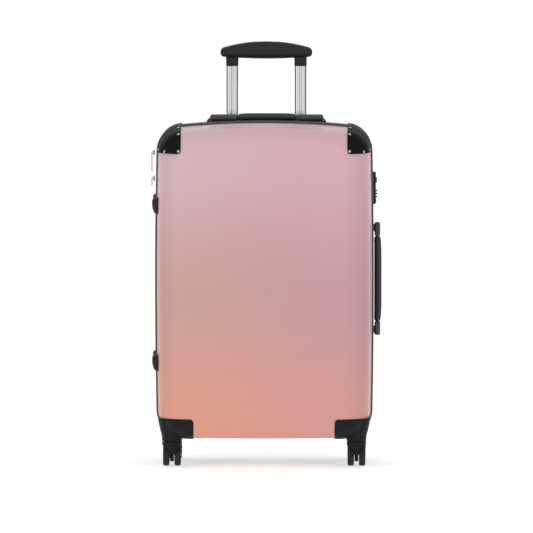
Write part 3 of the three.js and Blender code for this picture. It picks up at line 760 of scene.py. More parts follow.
def build_zip():
    """The zip round the case: a woven tape, a row of teeth and a rubber welt on each half."""
    case = bpy.context.scene.suitcase_case
    track = outline(0, 0, 0)
    for half, sign in HALVES.items():
        tape = [(0.2 * MM, 0.9 * MM), (1.6 * MM, 0.9 * MM), (1.9 * MM, 3 * MM), (2.1 * MM, 7 * MM),
                (1.9 * MM, 11 * MM), (1.5 * MM, 13.4 * MM), (0.2 * MM, 13.4 * MM)]
        cloth = piece(outline_ring(tape, sign), f"{half}_zip_tape_cloth", tape_weave(), f"{half}_case",
                      [f"{half}_zip_tape"])
        count = 12
        welt = [(1.1 * MM + 1.7 * MM * math.cos(2 * math.pi * k / count),
                 13.2 * MM + 2.0 * MM * math.sin(2 * math.pi * k / count)) for k in range(count)]
        piece(outline_ring(welt, sign), f"{half}_welt", plain("handle_grey"), f"{half}_case",
              sharp=80)
        build_teeth(half, sign, case.teeth)


def build_teeth(half, sign, count):
    """One half's row of teeth, evenly spaced round the outline and staggered against the other half's."""
    track = outline(-2.0 * MM, -2.0 * MM, 0)
    lengths = [(b - a).length for a, b in zip(track, track[1:] + track[:1])]
    pitch = sum(lengths) / count
    bm = bmesh.new()
    at, index, done = (0.0 if sign < 0 else pitch / 2), 0, 0.0
    for _ in range(count):
        while at > done + lengths[index % len(track)] and index < len(track) - 1:
            done += lengths[index]
            index += 1
        a, b = track[index], track[(index + 1) % len(track)]
        along = (b - a).normalized()
        point = a + along * (at - done)
        point.y = sign * 0.75 * MM
        out = along.cross(Vector((0, 1, 0)))
        turn = Matrix((along, Vector((0, 1, 0)), out)).transposed().to_4x4()
        size = Matrix.Diagonal((0.42 * pitch, 2.3 * MM, 1.3 * MM, 1))
        bmesh.ops.create_cube(bm, size=1, matrix=Matrix.Translation(point) @ turn @ size)
        at += pitch
    piece(bm, f"{half}_zip_teeth", plain("charcoal_satin"), f"{half}_case")


def build_gusset():
    """The cloth hinge on the left side."""
    case = bpy.context.scene.suitcase_case
    low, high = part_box("hinge_gusset")
    half_deep = high.y - 1 * MM
    x = CASE_X - HALF_WIDTH - 2.7 * MM
    bm = bmesh.new()
    steps_y, steps_z = 16, 40
    grid = bmesh.ops.create_grid(bm, x_segments=steps_y, y_segments=steps_z, size=1)["verts"]
    for v in grid:
        fold = 0.2 * MM * math.cos(v.co.x * math.pi * 3) * (1 - v.co.x ** 2)
        z = (low.z + high.z) / 2 + v.co.y * (high.z - low.z) / 2
        bow = case.bow_side * ((z - MIDDLE_Z) / (SHELL_HIGH.z - MIDDLE_Z)) ** 2
        v.co = Vector((x + bow + fold, v.co.x * half_deep, z))
    made = piece(bm, "hinge_gusset_cloth", tape_weave(), None)
    solidify(made, 0.6 * MM, offset=0)
    settle(made)
    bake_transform(made)
    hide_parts("hinge_gusset")


# ---------------------------------------------------------------- guards, housings, feet


def add_rivet(bm, tree, origin, direction):
    """A domed rivet on the surface that a ray meets."""
    radius, height = 2.7 * MM, 1.4 * MM
    point, normal, _, _ = tree.ray_cast(Vector(origin), Vector(direction))
    if point is None:
        raise RuntimeError(f"no surface for a rivet from {tuple(origin)}")
    if normal.dot(Vector(direction)) > 0:
        normal = -normal
    turn = Vector((0, 0, 1)).rotation_difference(normal).to_matrix().to_4x4()
    place = Matrix.Translation(point) @ turn @ Matrix.Diagonal((radius, radius, height, 1))
    bmesh.ops.create_uvsphere(bm, u_segments=20, v_segments=12, radius=1, matrix=place)


def build_guards():
    """Black guards over the four upper corners of the two halves, each with its rivets."""
    case = bpy.context.scene.suitcase_case
    grow = 0.3 * MM + case.guard
    for half, sy in HALVES.items():
        for side, sx in SIDES.items():
            place = f"{half}_{side}"
            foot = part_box(f"corner_guard_{place}")[0].z
            bm = corner_patch(half, side, grow, 46.5 * MM, foot, 6 * MM, upper=True)
            tree = BVHTree.FromBMesh(bm)
            guard = piece(bm, f"corner_guard_{place}_moulded", plain("matt_black"), f"{half}_case",
                          [f"corner_guard_{place}"], sharp=50)
            solidify(guard, case.guard)
            soften(guard, 0.5 * MM)
            rivets = bmesh.new()
            inner, outer = HALF_WIDTH - 42.6 * MM, HALF_WIDTH - 16 * MM
            low = foot + 5.5 * MM
            for x, z in ((inner, low), (outer, foot + 3.6 * MM), (inner, foot + 37 * MM)):
                add_rivet(rivets, tree, (CASE_X + sx * x, sy * 0.5, z), (0, -sy, 0))
            add_rivet(rivets, tree, (CASE_X + sx * inner, sy * 44 * MM, 0.9), (0, 0, -1))
            add_rivet(rivets, tree, (CASE_X + sx * 0.5, sy * 70 * MM, low), (-sx, 0, 0))
            piece(rivets, f"guard_rivets_{place}", plain("bright_steel"), f"{half}_case", sharp=60)


def build_housings():
    """Wheel housings: a cap over each lower corner that runs into the caster's neck."""
    case = bpy.context.scene.suitcase_case
    for half in HALVES:
        for side in SIDES:
            place = f"{half}_{side}"
            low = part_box(f"wheel_housing_{place}")[0]
            bm = corner_patch(half, side, case.cap, 71.5 * MM, 92.5 * MM, 8 * MM, upper=False)
            cap = piece(bm, f"wheel_housing_{place}_moulded", plain("charcoal_satin"), f"{half}_case",
                        [f"wheel_housing_{place}"], sharp=50)
            solidify(cap, case.cap + 0.9 * MM)
            settle(cap)
            fork = middle(f"fork_{place}")
            king = Vector((fork.x, middle(f"axle_{place}").y - TRAIL, low.z))
            profile = [(0, 0), (18.0, 0), (18.8, 0.6), (18.9, 2.2), (19.0, 8), (20.2, 14), (22.4, 22),
                       (24.6, 32), (27, 44), (0, 44)]
            neck = lathe(bmesh.new(), [(r * MM, z * MM) for r, z in profile], king, axis="Z", steps=64)
            body = piece(neck, f"neck_{place}", plain("charcoal_satin"), None)
            cut(body, body_solid(half, 0.3 * MM))
            joined = bmesh.new()
            joined.from_mesh(cap.data)
            joined.from_mesh(body.data)
            joined.to_mesh(cap.data)
            joined.free()
            bpy.data.objects.remove(body)
            remesh = cap.modifiers.new("Blend", "REMESH")
            remesh.mode = "VOXEL"
            remesh.voxel_size = 1.1 * MM
            smooth = cap.modifiers.new("Smooth", "SMOOTH")
            smooth.factor = 0.5
            smooth.iterations = 7
            settle(cap, sharp=75)


def build_feet():
    """Oval feet on the left side, fuller towards the top, each on a thin flange."""
    for half in HALVES:
        for level in ("upper", "lower"):
            node_name = f"side_foot_{half}_{level}"
            low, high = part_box(node_name)
            centre = (low + high) / 2
            wide, tall = (high.y - low.y) / 2, (high.z - low.z) / 2
            wall_x = high.x + 1.5 * MM
            deep = wall_x - low.x
            bm = bmesh.new()
            profile, steps, flange = [(0, deep)], 10, 1.8 * MM
            for i in range(steps + 1):
                a = 0.12 + (math.pi / 2 - 0.12) * i / steps
                profile.append((0.88 * math.sin(a) ** 0.75, (deep - flange) * math.cos(a) ** 0.6 + flange))
            profile += [(0.93, flange), (1.0, 1.2 * MM), (1.0, 0), (0, 0)]
            lathe(bm, profile, (0, 0, 0), axis="X", steps=40)
            for v in bm.verts:
                lean = 1 + 0.16 * v.co.z * (1 if v.co.x > 2 * MM else 0)
                x = min(v.co.x * lean, deep)
                narrow = 1 - 0.12 * max(-v.co.z, 0)
                v.co = Vector((wall_x - x, centre.y + v.co.y * wide * narrow, centre.z + v.co.z * tall))
            foot = piece(bm, f"{node_name}_moulded", satin_black(), f"{half}_case",
                         [node_name], sharp=42)
            cut(foot, body_solid(half), sharp=42)


# ---------------------------------------------------------------- casters


def thicken_grid(bm, verts, thickness):
    """Gives a grid of vertices a wall."""
    faces = list({f for v in verts for f in v.link_faces})
    bmesh.ops.recalc_face_normals(bm, faces=faces)
    bmesh.ops.solidify(bm, geom=faces, thickness=thickness)


def caster_hood(bm, origin, axle_z):
    """The curved guard over the two wheels, narrowing to a tip in front."""
    radius = WHEEL_RADIUS + 2.2 * MM
    made = bmesh.ops.create_grid(bm, x_segments=18, y_segments=30, size=1)["verts"]
    for v in made:
        u, t = v.co.x, (v.co.y + 1) / 2
        a = math.radians(4 + 118 * t)
        rise = min(max((radius * math.sin(a) - 2 * MM) / (17 * MM), 0), 1)
        half = (4.5 + 12.9 * rise ** 0.7) * MM
        out = radius + 1.2 * MM * (1 - u * u) * (1 - t)
        v.co = origin + Vector((u * half, TRAIL - out * math.cos(a), axle_z + out * math.sin(a)))
    thicken_grid(bm, made, 1.9 * MM)


def caster_shield(bm, origin, top_z):
    """The curved shield in front of the wheels, its lower edge drawn down to a point."""
    radius, tip, rise = 18.6 * MM, 27 * MM, 14.5 * MM
    made = bmesh.ops.create_grid(bm, x_segments=36, y_segments=12, size=1)["verts"]
    for v in made:
        a, t = v.co.x * math.radians(93), (v.co.y + 1) / 2
        low = tip + rise * abs(math.sin(a)) ** 1.2
        v.co = origin + Vector((radius * math.sin(a), -radius * math.cos(a), low + (top_z - low) * t))
    thicken_grid(bm, made, 1.8 * MM)


def caster_leg(bm, origin, axle_z, crown_z):
    """The plate between the wheels, rounded at the axle and spreading into the crown."""
    half, steps = 3.6 * MM, 16
    trail, axle, crown = TRAIL / MM, axle_z / MM, crown_z / MM
    side = [(-14, crown - 3), (-14, crown), (15, crown), (trail + 13, axle + 4)]
    for k in range(steps + 1):
        a = -0.85 * math.pi * k / steps
        side.append((trail + 13.5 * math.cos(a), axle + 13.5 * math.sin(a)))
    side.append((-8, 31))
    rows = [[origin + Vector((x, y * MM, z * MM)) for y, z in side] for x in (-half, half)]
    loft(bm, rows, cap_first=True, cap_last=True)


def build_casters():
    """Four casters, each with a fork, an axle and two wheels."""
    crown = [(0, -2.6), (17.2, -2.6), (17.4, -2.2), (17.4, -0.5), (16.8, 0), (5, 0), (5, 1.6), (0, 1.6)]
    for half in HALVES:
        for side in SIDES:
            place = f"{half}_{side}"
            axle = middle(f"axle_{place}")
            origin = Vector((middle(f"fork_{place}").x, axle.y - TRAIL, 0))
            crown_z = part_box(f"wheel_housing_{place}")[0].z - 1.2 * MM
            bm = bmesh.new()
            caster_hood(bm, origin, axle.z)
            caster_leg(bm, origin, axle.z, crown_z)
            caster_shield(bm, origin, crown_z + 0.8 * MM)
            lathe(bm, [(r * MM, z * MM) for r, z in crown], (origin.x, origin.y, crown_z), axis="Z")
            fork = piece(bm, f"caster_fork_{place}", plain("charcoal_satin"), f"caster_{place}",
                         [f"fork_{place}"], sharp=40)
            soften(fork, 0.5 * MM)
            low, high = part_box(f"axle_{place}")
            across = Matrix.Translation(axle) @ turn_axis("X")
            pin = round_bar(bmesh.new(), 2 * MM, high.x - low.x - 0.6 * MM, across, 24, 0.4 * MM)
            piece(pin, f"caster_axle_{place}", plain("bright_steel"), f"caster_{place}",
                  [f"axle_{place}"])
            for which in ("outer", "inner"):
                build_wheel(f"wheel_{place}_{which}", axle)


def build_wheel(name, axle):
    """A wheel: a rubber tyre with a round tread, on a moulded hub with five spokes."""
    low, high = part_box(name)
    centre, half = (low + high) / 2, (high.x - low.x) / 2
    out = math.copysign(1, centre.x - axle.x)
    tread, spokes = 14, 5
    profile = []
    for k in range(tread + 1):
        a = math.pi * k / tread
        profile.append((WHEEL_RADIUS + (3.1 * math.sin(a) ** 0.8 - 3.4) * MM, -half * math.cos(a) * 0.985))
    profile += [(r * MM, x * half) for x, r in ((0.88, 17.4), (0.8, 15.6), (-0.8, 15.6), (-0.88, 17.4))]
    tyre = lathe(bmesh.new(), profile, centre, steps=64, closed=True)
    piece(tyre, f"{name}_tyre", plain("tyre_rubber"), name, [name], sharp=50)
    hub = bmesh.new()
    rim = [(13.0, -0.75), (15.9, -0.85), (15.9, 0.85), (13.0, 0.75)]
    boss = [(2.25, -0.95), (5.2, -0.95), (5.8, -0.8), (5.8, 0.8), (5.2, 0.95), (2.25, 0.95)]
    disc = [(5.0, -0.35), (13.4, -0.35), (13.4, -0.1), (5.0, -0.1)]
    for rings, steps in ((rim, 48), (boss, 32), (disc, 48)):
        lathe(hub, [(r * MM, x * half) for r, x in rings], centre, steps=steps, closed=True)
    size = Matrix.Diagonal((1.15 * half, 3.2 * MM, 8.6 * MM, 1))
    for k in range(spokes):
        turn = Matrix.Translation(centre) @ Matrix.Rotation(2 * math.pi * k / spokes, 4, "X")
        bmesh.ops.create_cube(hub, size=1, matrix=turn @ Matrix.Translation((0, 0, 9.4 * MM)) @ size)
    made = piece(hub, f"{name}_hub", plain("charcoal_satin"), name)
    soften(made, 0.35 * MM)
    face = Matrix.Translation(centre + Vector((out * half * 0.93, 0, 0))) @ turn_axis("X")
    cover = round_bar(bmesh.new(), 4.2 * MM, 0.9 * MM, face, 28, 0.3 * MM)
    piece(cover, f"{name}_cap", plain("bright_steel"), name)


# ---------------------------------------------------------------- trolley


def tube_section(width, deep, groove=0.0):
    """A flat-sided oval, with a groove up the middle of both broad faces."""
    arc_steps, flat_steps, groove_half = 8, 24, 1.7 * MM
    radius = deep / 2 - 1 * MM
    flat_x, flat_y = width / 2 - radius, deep / 2 - radius
    points = []
    for i, (sx, sy) in enumerate(((1, 1), (-1, 1), (-1, -1), (1, -1))):
        for k in range(arc_steps + 1):
            turn = (i + k / arc_steps) * math.pi / 2
            points.append((sx * flat_x + radius * math.cos(turn), sy * flat_y + radius * math.sin(turn)))
        if sx == sy:
            for k in range(1, flat_steps):
                x = sx * flat_x * (1 - 2 * k / flat_steps)
                near = math.exp(-((x / groove_half) ** 4))
                points.append((x, sy * (deep / 2 - groove * near)))
    return points


def oval_row(centre, section, z, scale=1):
    """A tube section's points at a height."""
    return [Vector((centre.x + a * scale, centre.y + b * scale, z)) for a, b in section]


def oval_bar(tube, size, levels):
    """An oval bar in line with a CAD tube, between two heights."""
    centre, section = middle(tube), tube_section(*size)
    return solid_loft([oval_row(centre, section, z) for z in levels])


def build_tube(name, width, deep, body):
    """A drawn tube with a groove up its broad faces and soft lips at its ends."""
    low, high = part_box(name)
    centre, wall, lip = (low + high) / 2, 1.2 * MM, 0.3 * MM
    outside = tube_section(width, deep, 1.0 * MM)
    inside = tube_section(width - 2 * wall, deep - 2 * wall, 0.5 * MM)
    rows = [oval_row(centre, section, z, scale) for section, scale, z in (
        (outside, 1, low.z + lip), (outside, 1, high.z - lip), (outside, 0.985, high.z),
        (inside, 1.01, high.z), (inside, 1, high.z - lip), (inside, 1, low.z + lip),
        (inside, 1.01, low.z), (outside, 0.985, low.z),
    )]
    tube = loft(bmesh.new(), rows, close=True)
    piece(tube, f"{name}_drawn", plain("drawn_aluminium"), body, [name], sharp=35)


def build_trolley():
    """The three telescoping stages, the grip, the bezel and the base."""
    for side in SIDES:
        build_tube(f"inner_tube_{side}", 22.7 * MM, 11.9 * MM, "trolley_inner")
        build_tube(f"middle_tube_{side}", 26.3 * MM, 15.5 * MM, "trolley_middle")
        build_tube(f"outer_tube_{side}", 29.9 * MM, 19.1 * MM, "back_case")
    build_grip()
    build_bezel()
    low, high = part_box("trolley_base")
    made = piece(solid_block(low, high, 2.5 * MM, 4), "trolley_base_moulded", satin_black(), "back_case",
                 ["trolley_base"])
    for side in SIDES:
        tube = f"outer_tube_{side}"
        cut(made, oval_bar(tube, (30.6 * MM, 19.8 * MM), (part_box(tube)[0].z - 0.3 * MM, high.z + 5 * MM)))


def build_grip():
    """The arched trolley grip with its two legs, and the release button let into its top."""
    low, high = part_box("trolley_grip")
    centre_x, half, deep = (low.x + high.x) / 2, (high.x - low.x) / 2, (high.y - low.y) / 2
    top, arch, underside, sag, steps = high.z, 13.5 * MM, 763.6 * MM, 4 * MM, 44
    round_from = 0.93  # share of the half length where the ends start to round
    rows = []
    for i in range(steps + 1):
        t = math.sin((i / steps - 0.5) * math.pi)
        over = max((abs(t) - round_from) / 0.07, 0)
        fill = math.sqrt(max(1 - 0.93 * over ** 2.2, 0.05))
        high_z, low_z = top - arch * t * t, underside + sag * t * t
        mid, tall = (high_z + low_z) / 2, (high_z - low_z) / 2
        ring = superellipse(deep * (0.55 + 0.45 * fill), tall * fill, 0.72, 36)
        rows.append([Vector((centre_x + t * half, TUBE_Y + a, mid + b)) for a, b in ring])
    grip = piece(solid_loft(rows), "trolley_grip_moulded", satin_black(), "trolley_inner",
                 ["trolley_grip"], sharp=50)
    pocket = solid_block((centre_x - 20.5 * MM, TUBE_Y - 7 * MM, top - 12 * MM),
                         (centre_x + 20.5 * MM, TUBE_Y + 7 * MM, top + 8 * MM), 3 * MM, 5)
    cut(grip, pocket, sharp=50)
    legs = bmesh.new()
    for side in SIDES:
        tube = middle(f"inner_tube_{side}")
        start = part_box(f"inner_tube_{side}")[1].z + 0.3 * MM
        sleeve = ((23.0, 12.4, 0), (23.8, 13.0, 0.6), (23.8, 13.0, 11), (24.4, 13.6, 15), (25.6, 15, 19))
        rows = [oval_row(tube, tube_section(wide * MM, thick * MM), start + z * MM)
                for wide, thick, z in sleeve]
        loft(legs, rows, cap_first=True, cap_last=True)
        spigot = tube_section(19 * MM, 8.4 * MM)
        rows = [oval_row(tube, spigot, z) for z in (start - 19 * MM, start + 0.5 * MM)]
        loft(legs, rows, cap_first=True, cap_last=True)
    piece(legs, "trolley_grip_legs", satin_black(), "trolley_inner", sharp=50)
    build_button(centre_x, top)


def build_button(centre_x, top):
    """The ribbed release button, bowed like the grip's top, on its two rods."""
    bm = bmesh.new()
    block(bm, (centre_x - 20 * MM, TUBE_Y - 6.5 * MM, top - 6.5 * MM),
          (centre_x + 20 * MM, TUBE_Y + 6.5 * MM, top - 0.5 * MM), 1.4 * MM, 4)
    for k in range(-3, 4):
        block(bm, (centre_x + (k * 3.2 - 0.5) * MM, TUBE_Y - 3.5 * MM, top - 1.1 * MM),
              (centre_x + (k * 3.2 + 0.5) * MM, TUBE_Y + 3.5 * MM, top - 0.3 * MM), 0.2 * MM, 2)
    for v in bm.verts:
        v.co.z -= 13.5 * MM * ((v.co.x - centre_x) / (87.5 * MM)) ** 2
    piece(bm, "release_button_moulded", plain("soft_rubber"), "release_button",
          ["release_button"])
    rods = bmesh.new()
    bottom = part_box("release_button")[0].z
    bar_z = 781.6 * MM
    for side in SIDES:
        x = middle(f"inner_tube_{side}").x
        place = Matrix.Translation((x, TUBE_Y, (bottom + bar_z) / 2))
        round_bar(rods, 2 * MM, bar_z - bottom, place, 16, 0.3 * MM)
    piece(rods, "release_rods", plain("bright_steel"), "release_button")


def build_bezel():
    """The plate in the back shell's top that the trolley tubes slide through."""
    low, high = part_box("trolley_bezel")
    slope_long, slope_high, edge = 5.8 * MM, 6 * MM, 1.2 * MM
    side = [(low.x, low.z), (high.x, low.z), (high.x, high.z - slope_high), (high.x - slope_long, high.z),
            (low.x + slope_long, high.z), (low.x, high.z - slope_high)]
    bm = solid_loft([[Vector((x, y, z)) for x, z in side] for y in (low.y, high.y)])
    bmesh.ops.bevel(bm, geom=bm.edges[:], offset=edge, affect="EDGES", segments=3, profile=0.5, material=-1)
    made = piece(bm, "trolley_bezel_moulded", satin_black(), "back_case", ["trolley_bezel"])
    cut(made, body_solid("back"))
    for side in SIDES:
        tube = f"middle_tube_{side}"
        cut(made, oval_bar(tube, (27.2 * MM, 16.4 * MM), (low.z - 5 * MM, high.z + 5 * MM)))
        lip = ((0.1, -1.2), (1.0, -0.4), (1.9, -1.4), (1.9, -3), (0.1, -3))
        rows = []
        for grow, z in lip:
            ring = tube_section((27.4 + 2 * grow) * MM, (16.6 + 2 * grow) * MM)
            rows.append(oval_row(middle(tube), ring, high.z + z * MM))
        collar = loft(bmesh.new(), rows, close=True)
        piece(collar, f"tube_collar_{side}", plain("soft_rubber"), "back_case", sharp=50)


# ---------------------------------------------------------------- carry handles


def build_handle(name, place, plate_top, soft):
    """A carry handle made along X with the case at height 0, then moved by a matrix."""
    half, deep, low, high, post = 107.5 * MM, 11 * MM, 4 * MM, HANDLE_TOP, 97 * MM
    ends = bmesh.new()
    for s in (-1, 1):
        a, b = sorted((s * half, s * (soft + 1 * MM)))
        block(ends, (a, -deep, low), (b, deep, high), 3.6 * MM, 5)
        block(ends, (s * post - 7 * MM, -2.5 * MM, -13.5 * MM), (s * post + 7 * MM, 2.5 * MM, low + 2 * MM),
              0.8 * MM, 2)
    block(ends, (-soft - 2 * MM, -5 * MM, low + 2.4 * MM), (soft + 2 * MM, 5 * MM, high - 2.8 * MM))
    bmesh.ops.transform(ends, matrix=place, verts=ends.verts)
    piece(ends, f"{name}_ends", plain("handle_grey"), name, [f"{name}_frame"])

    grip = bmesh.new()
    rows, steps = [], 36
    for i in range(steps + 1):
        t = 2 * i / steps - 1
        swell = 1 - t ** 6
        lip = 1 - 0.14 * max((abs(t) - 0.94) / 0.06, 0) ** 2
        ring = superellipse((deep - 0.5 * MM + 1.5 * MM * swell) * lip,
                            ((high - low) / 2 + (0.5 + swell) * MM) * lip, 0.8, 32)
        rows.append([Vector((t * soft, a, (low + high) / 2 + swell * MM + b)) for a, b in ring])
    loft(grip, rows, cap_first=True, cap_last=True)
    for s in (-1, 1):
        for k in range(3):
            x = s * (soft - (4 + 3.2 * k) * MM)
            rib = superellipse(deep + 0.1 * MM, (high - low) / 2 + 0.95 * MM, 0.8, 32)
            rows = [[Vector((x + dx * MM, a * f, (low + high) / 2 + b * f)) for a, b in rib]
                    for dx, f in ((-0.8, 0.97), (-0.3, 1.0), (0.3, 1.0), (0.8, 0.97))]
            loft(grip, rows, cap_first=True, cap_last=True)
    bmesh.ops.transform(grip, matrix=place, verts=grip.verts)
    piece(grip, f"{name}_soft_grip", plain("soft_rubber"), name, [f"{name}_grip"], sharp=45)

    reach_x, reach_y = half + 1.4 * MM, deep + 1.9 * MM
    base = solid_block((-reach_x, -reach_y, -9 * MM), (reach_x, reach_y, plate_top), 0.7 * MM, 3)
    bmesh.ops.transform(base, matrix=place, verts=base.verts)
    made = piece(base, f"{name}_base_plate", satin_black(), "back_case", [f"{name}_base"])
    cut(made, body_solid("back"))
    for s in (-1, 1):
        slot = solid_block((s * post - 8 * MM, -3.5 * MM, -20 * MM), (s * post + 8 * MM, 3.5 * MM, 5 * MM))
        bmesh.ops.transform(slot, matrix=place, verts=slot.verts)
        cut(made, slot)
    screws = bmesh.new()
    for s in (-1, 1):
        for x in (61 * MM, 84 * MM):
            centre = Matrix.Translation((s * x, 0, plate_top + 0.1 * MM))
            round_bar(screws, 2.6 * MM, 0.9 * MM, place @ centre, 24, 0.3 * MM)
    piece(screws, f"{name}_screws", plain("bright_steel"), "back_case")


def soft_half(name, axis):
    """Half the length that a carry handle's soft grip takes between its end blocks."""
    low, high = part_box(f"{name}_grip")
    return (getattr(high, axis) - getattr(low, axis)) / 2 + 0.3 * MM


def build_handles():
    """The top carry handle, and the side one turned to stand on the right side."""
    top = middle("top_handle_frame")
    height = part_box("top_handle_frame")[1].z - HANDLE_TOP
    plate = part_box("top_handle_base")[1].z - height
    place = Matrix.Translation((top.x, HANDLE_Y, height))
    build_handle("top_handle", place, plate, soft_half("top_handle", "x"))
    side = middle("side_handle_frame")
    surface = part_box("side_handle_frame")[1].x - HANDLE_TOP
    place = Matrix.Translation((surface, HANDLE_Y, side.z)) @ turn_axis("X")
    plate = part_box("side_handle_base")[1].x - surface
    build_handle("side_handle", place, plate, soft_half("side_handle", "z"))


# ---------------------------------------------------------------- lock and zip sliders


def build_lock():
    """The lock's body with its windows, the catch, the dials and the key cover."""
    low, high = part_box("lock_body")
    dials = [middle(f"lock_dial_{i}") for i in (1, 2, 3)]
    catch_low, catch_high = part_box("lock_catch")
    bm = solid_block((low.x, low.y, low.z), (LOCK_FACE, high.y, high.z), 2.4 * MM, 4)
    made = piece(bm, "lock_body_moulded", satin_black(), "back_case", ["lock_body"])
    cut(made, body_solid("back"))
    for centre in dials:
        cut(made, solid_block((low.x - 5 * MM, centre.y - 5.2 * MM, centre.z - 1.9 * MM),
                              (LOCK_FACE + 5 * MM, centre.y + 5.2 * MM, centre.z + 1.9 * MM)))
    y = (catch_low.y + catch_high.y) / 2
    cut(made, solid_block((LOCK_FACE - 2.5 * MM, y - 8 * MM, catch_low.z - 5.5 * MM),
                          (LOCK_FACE + 5 * MM, y + 8 * MM, catch_high.z + 0.5 * MM), 1 * MM, 3))
    for i, centre in enumerate(dials, 1):
        build_dial(f"lock_dial_{i}", centre)
    catch = solid_block(catch_low, catch_high, 1.1 * MM, 3)
    for k in (-1, 0, 1):
        z = (catch_low.z + catch_high.z) / 2 + k * 2.4 * MM
        block(catch, (catch_high.x - 0.6 * MM, y - 5 * MM, z - 0.5 * MM),
              (catch_high.x + 0.3 * MM, y + 5 * MM, z + 0.5 * MM), 0.2 * MM, 2)
    piece(catch, "lock_catch_moulded", plain("charcoal_satin"), "lock_catch",
          ["lock_catch"])
    build_key_cover(Vector((LOCK_FACE, y, low.z + 6.2 * MM)))


def build_dial(name, centre):
    """A knurled dial with its figures."""
    radius, half = 4.6 * MM, 1.45 * MM
    bm = bmesh.new()
    profile = [(1.5, -1), (4.25, -1), (4.6, -0.72), (4.6, 0.72), (4.25, 1), (1.5, 1)]
    lathe(bm, [(r * MM, z * half) for r, z in profile], centre, axis="Z", steps=60, closed=True)
    notches = 20
    for v in bm.verts:
        out = Vector((v.co.x - centre.x, v.co.y - centre.y))
        if out.length > 4.5 * MM:
            wave = 1 - 0.02 * (1 + math.cos(math.atan2(out.y, out.x) * notches))
            v.co.x, v.co.y = centre.x + out.x * wave, centre.y + out.y * wave
    piece(bm, f"{name}_knurled", satin_black(), name, [name], sharp=50)
    figures = bmesh.new()
    stand = Matrix.Translation((radius - 0.02 * MM, 0, 0))
    stand = stand @ Matrix.Rotation(math.pi / 2, 4, "Z") @ Matrix.Rotation(math.pi / 2, 4, "X")
    for k in range(10):
        text = bpy.data.curves.new("figure", "FONT")
        text.body = str(k)
        text.size = 2.6 * MM
        text.align_x, text.align_y = "CENTER", "CENTER"
        text.extrude = 0.03 * MM
        holder = bpy.data.objects.new("figure", text)
        bpy.context.scene.collection.objects.link(holder)
        mesh = bpy.data.meshes.new_from_object(holder.evaluated_get(bpy.context.evaluated_depsgraph_get()))
        mesh.transform(Matrix.Translation(centre) @ Matrix.Rotation(2 * math.pi * k / 10, 4, "Z") @ stand)
        figures.from_mesh(mesh)
        bpy.data.objects.remove(holder)
        bpy.data.curves.remove(text)
        bpy.data.meshes.remove(mesh)
    piece(figures, f"{name}_figures", plain("white_ink"), name)


def build_key_cover(centre):
    """The red ring round the key's slot, and the cylinder in it."""
    across = Matrix.Translation(centre) @ turn_axis("X")
    cover = round_bar(bmesh.new(), 3.9 * MM, 1.2 * MM, across, 36, 0.35 * MM)
    piece(cover, "key_cover_ring", plain("red_enamel"), "back_case")
    core = round_bar(bmesh.new(), 2.6 * MM, 1.6 * MM, across, 32, 0.3 * MM)
    made = piece(core, "key_cylinder", plain("bright_steel"), "back_case")
    cut(made, solid_block(centre + Vector((0, -0.35, -1.5)) * MM, centre + Vector((3, 0.35, 1.5)) * MM))


def build_sliders():
    """Zip sliders with a bridge, and their hanging pulls."""
    for level in ("upper", "lower"):
        low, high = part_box(f"zip_slider_{level}")
        x, z = high.x, (low.z + high.z) / 2
        bm = solid_block((x - 3.0 * MM, -3.5 * MM, low.z), (x, 3.5 * MM, high.z), 1.2 * MM, 4)
        for s in (-1, 1):
            block(bm, (low.x, s * 3.1 * MM - 0.45 * MM, z - 3.4 * MM),
                  (x - 1 * MM, s * 3.1 * MM + 0.45 * MM, z + 2.6 * MM), 0.35 * MM, 3)
        pull_low, pull_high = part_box(f"zip_pull_{level}")
        pivot = Vector(((pull_low.x + pull_high.x) / 2 + 0.1 * MM, 0, pull_high.z - 2 * MM))
        across = Matrix.Translation(pivot) @ turn_axis("Y")
        round_bar(bm, 0.9 * MM, 6.4 * MM, across, 20, 0.2 * MM)
        slider, pull = f"zip_slider_{level}", f"zip_pull_{level}"
        piece(bm, f"{slider}_cast", plain("bright_steel"), slider, [slider])
        made = piece(solid_block(pull_low, pull_high, 0.8 * MM, 3), f"{pull}_cast", plain("bright_steel"),
                     pull, [pull])
        cut(made, round_bar(bmesh.new(), 1.15 * MM, 12 * MM, across, 24))
        long = pull_high.z - pull_low.z
        cut(made, solid_block((pull_low.x - 3 * MM, -1.1 * MM, pull_low.z + 0.16 * long),
                              (pull_high.x + 3 * MM, 1.1 * MM, pull_low.z + 0.62 * long), 0.5 * MM, 3))


# ---------------------------------------------------------------- stage


def build_stage():
    """Camera, a wide pale floor and soft studio light."""
    stage = bpy.context.scene.suitcase_stage
    scene = bpy.context.scene
    scene.view_settings.view_transform = "Standard"
    camera_data = bpy.data.cameras.new("camera")
    camera = bpy.data.objects.new("camera", camera_data)
    scene.collection.objects.link(camera)
    scene.camera = camera
    away = Vector((math.sin(stage.azimuth) * math.cos(stage.elevation),
                   -math.cos(stage.azimuth) * math.cos(stage.elevation), math.sin(stage.elevation)))
    camera.location = Vector((stage.look_x, 0, stage.look_z)) + away * stage.distance
    camera.rotation_mode = "QUATERNION"
    camera.rotation_quaternion = (-away).to_track_quat("-Z", "Y")
    camera_data.lens = camera_data.sensor_width * stage.distance / stage.width
    camera_data.clip_end = 200
    build_floor()
    build_lights()


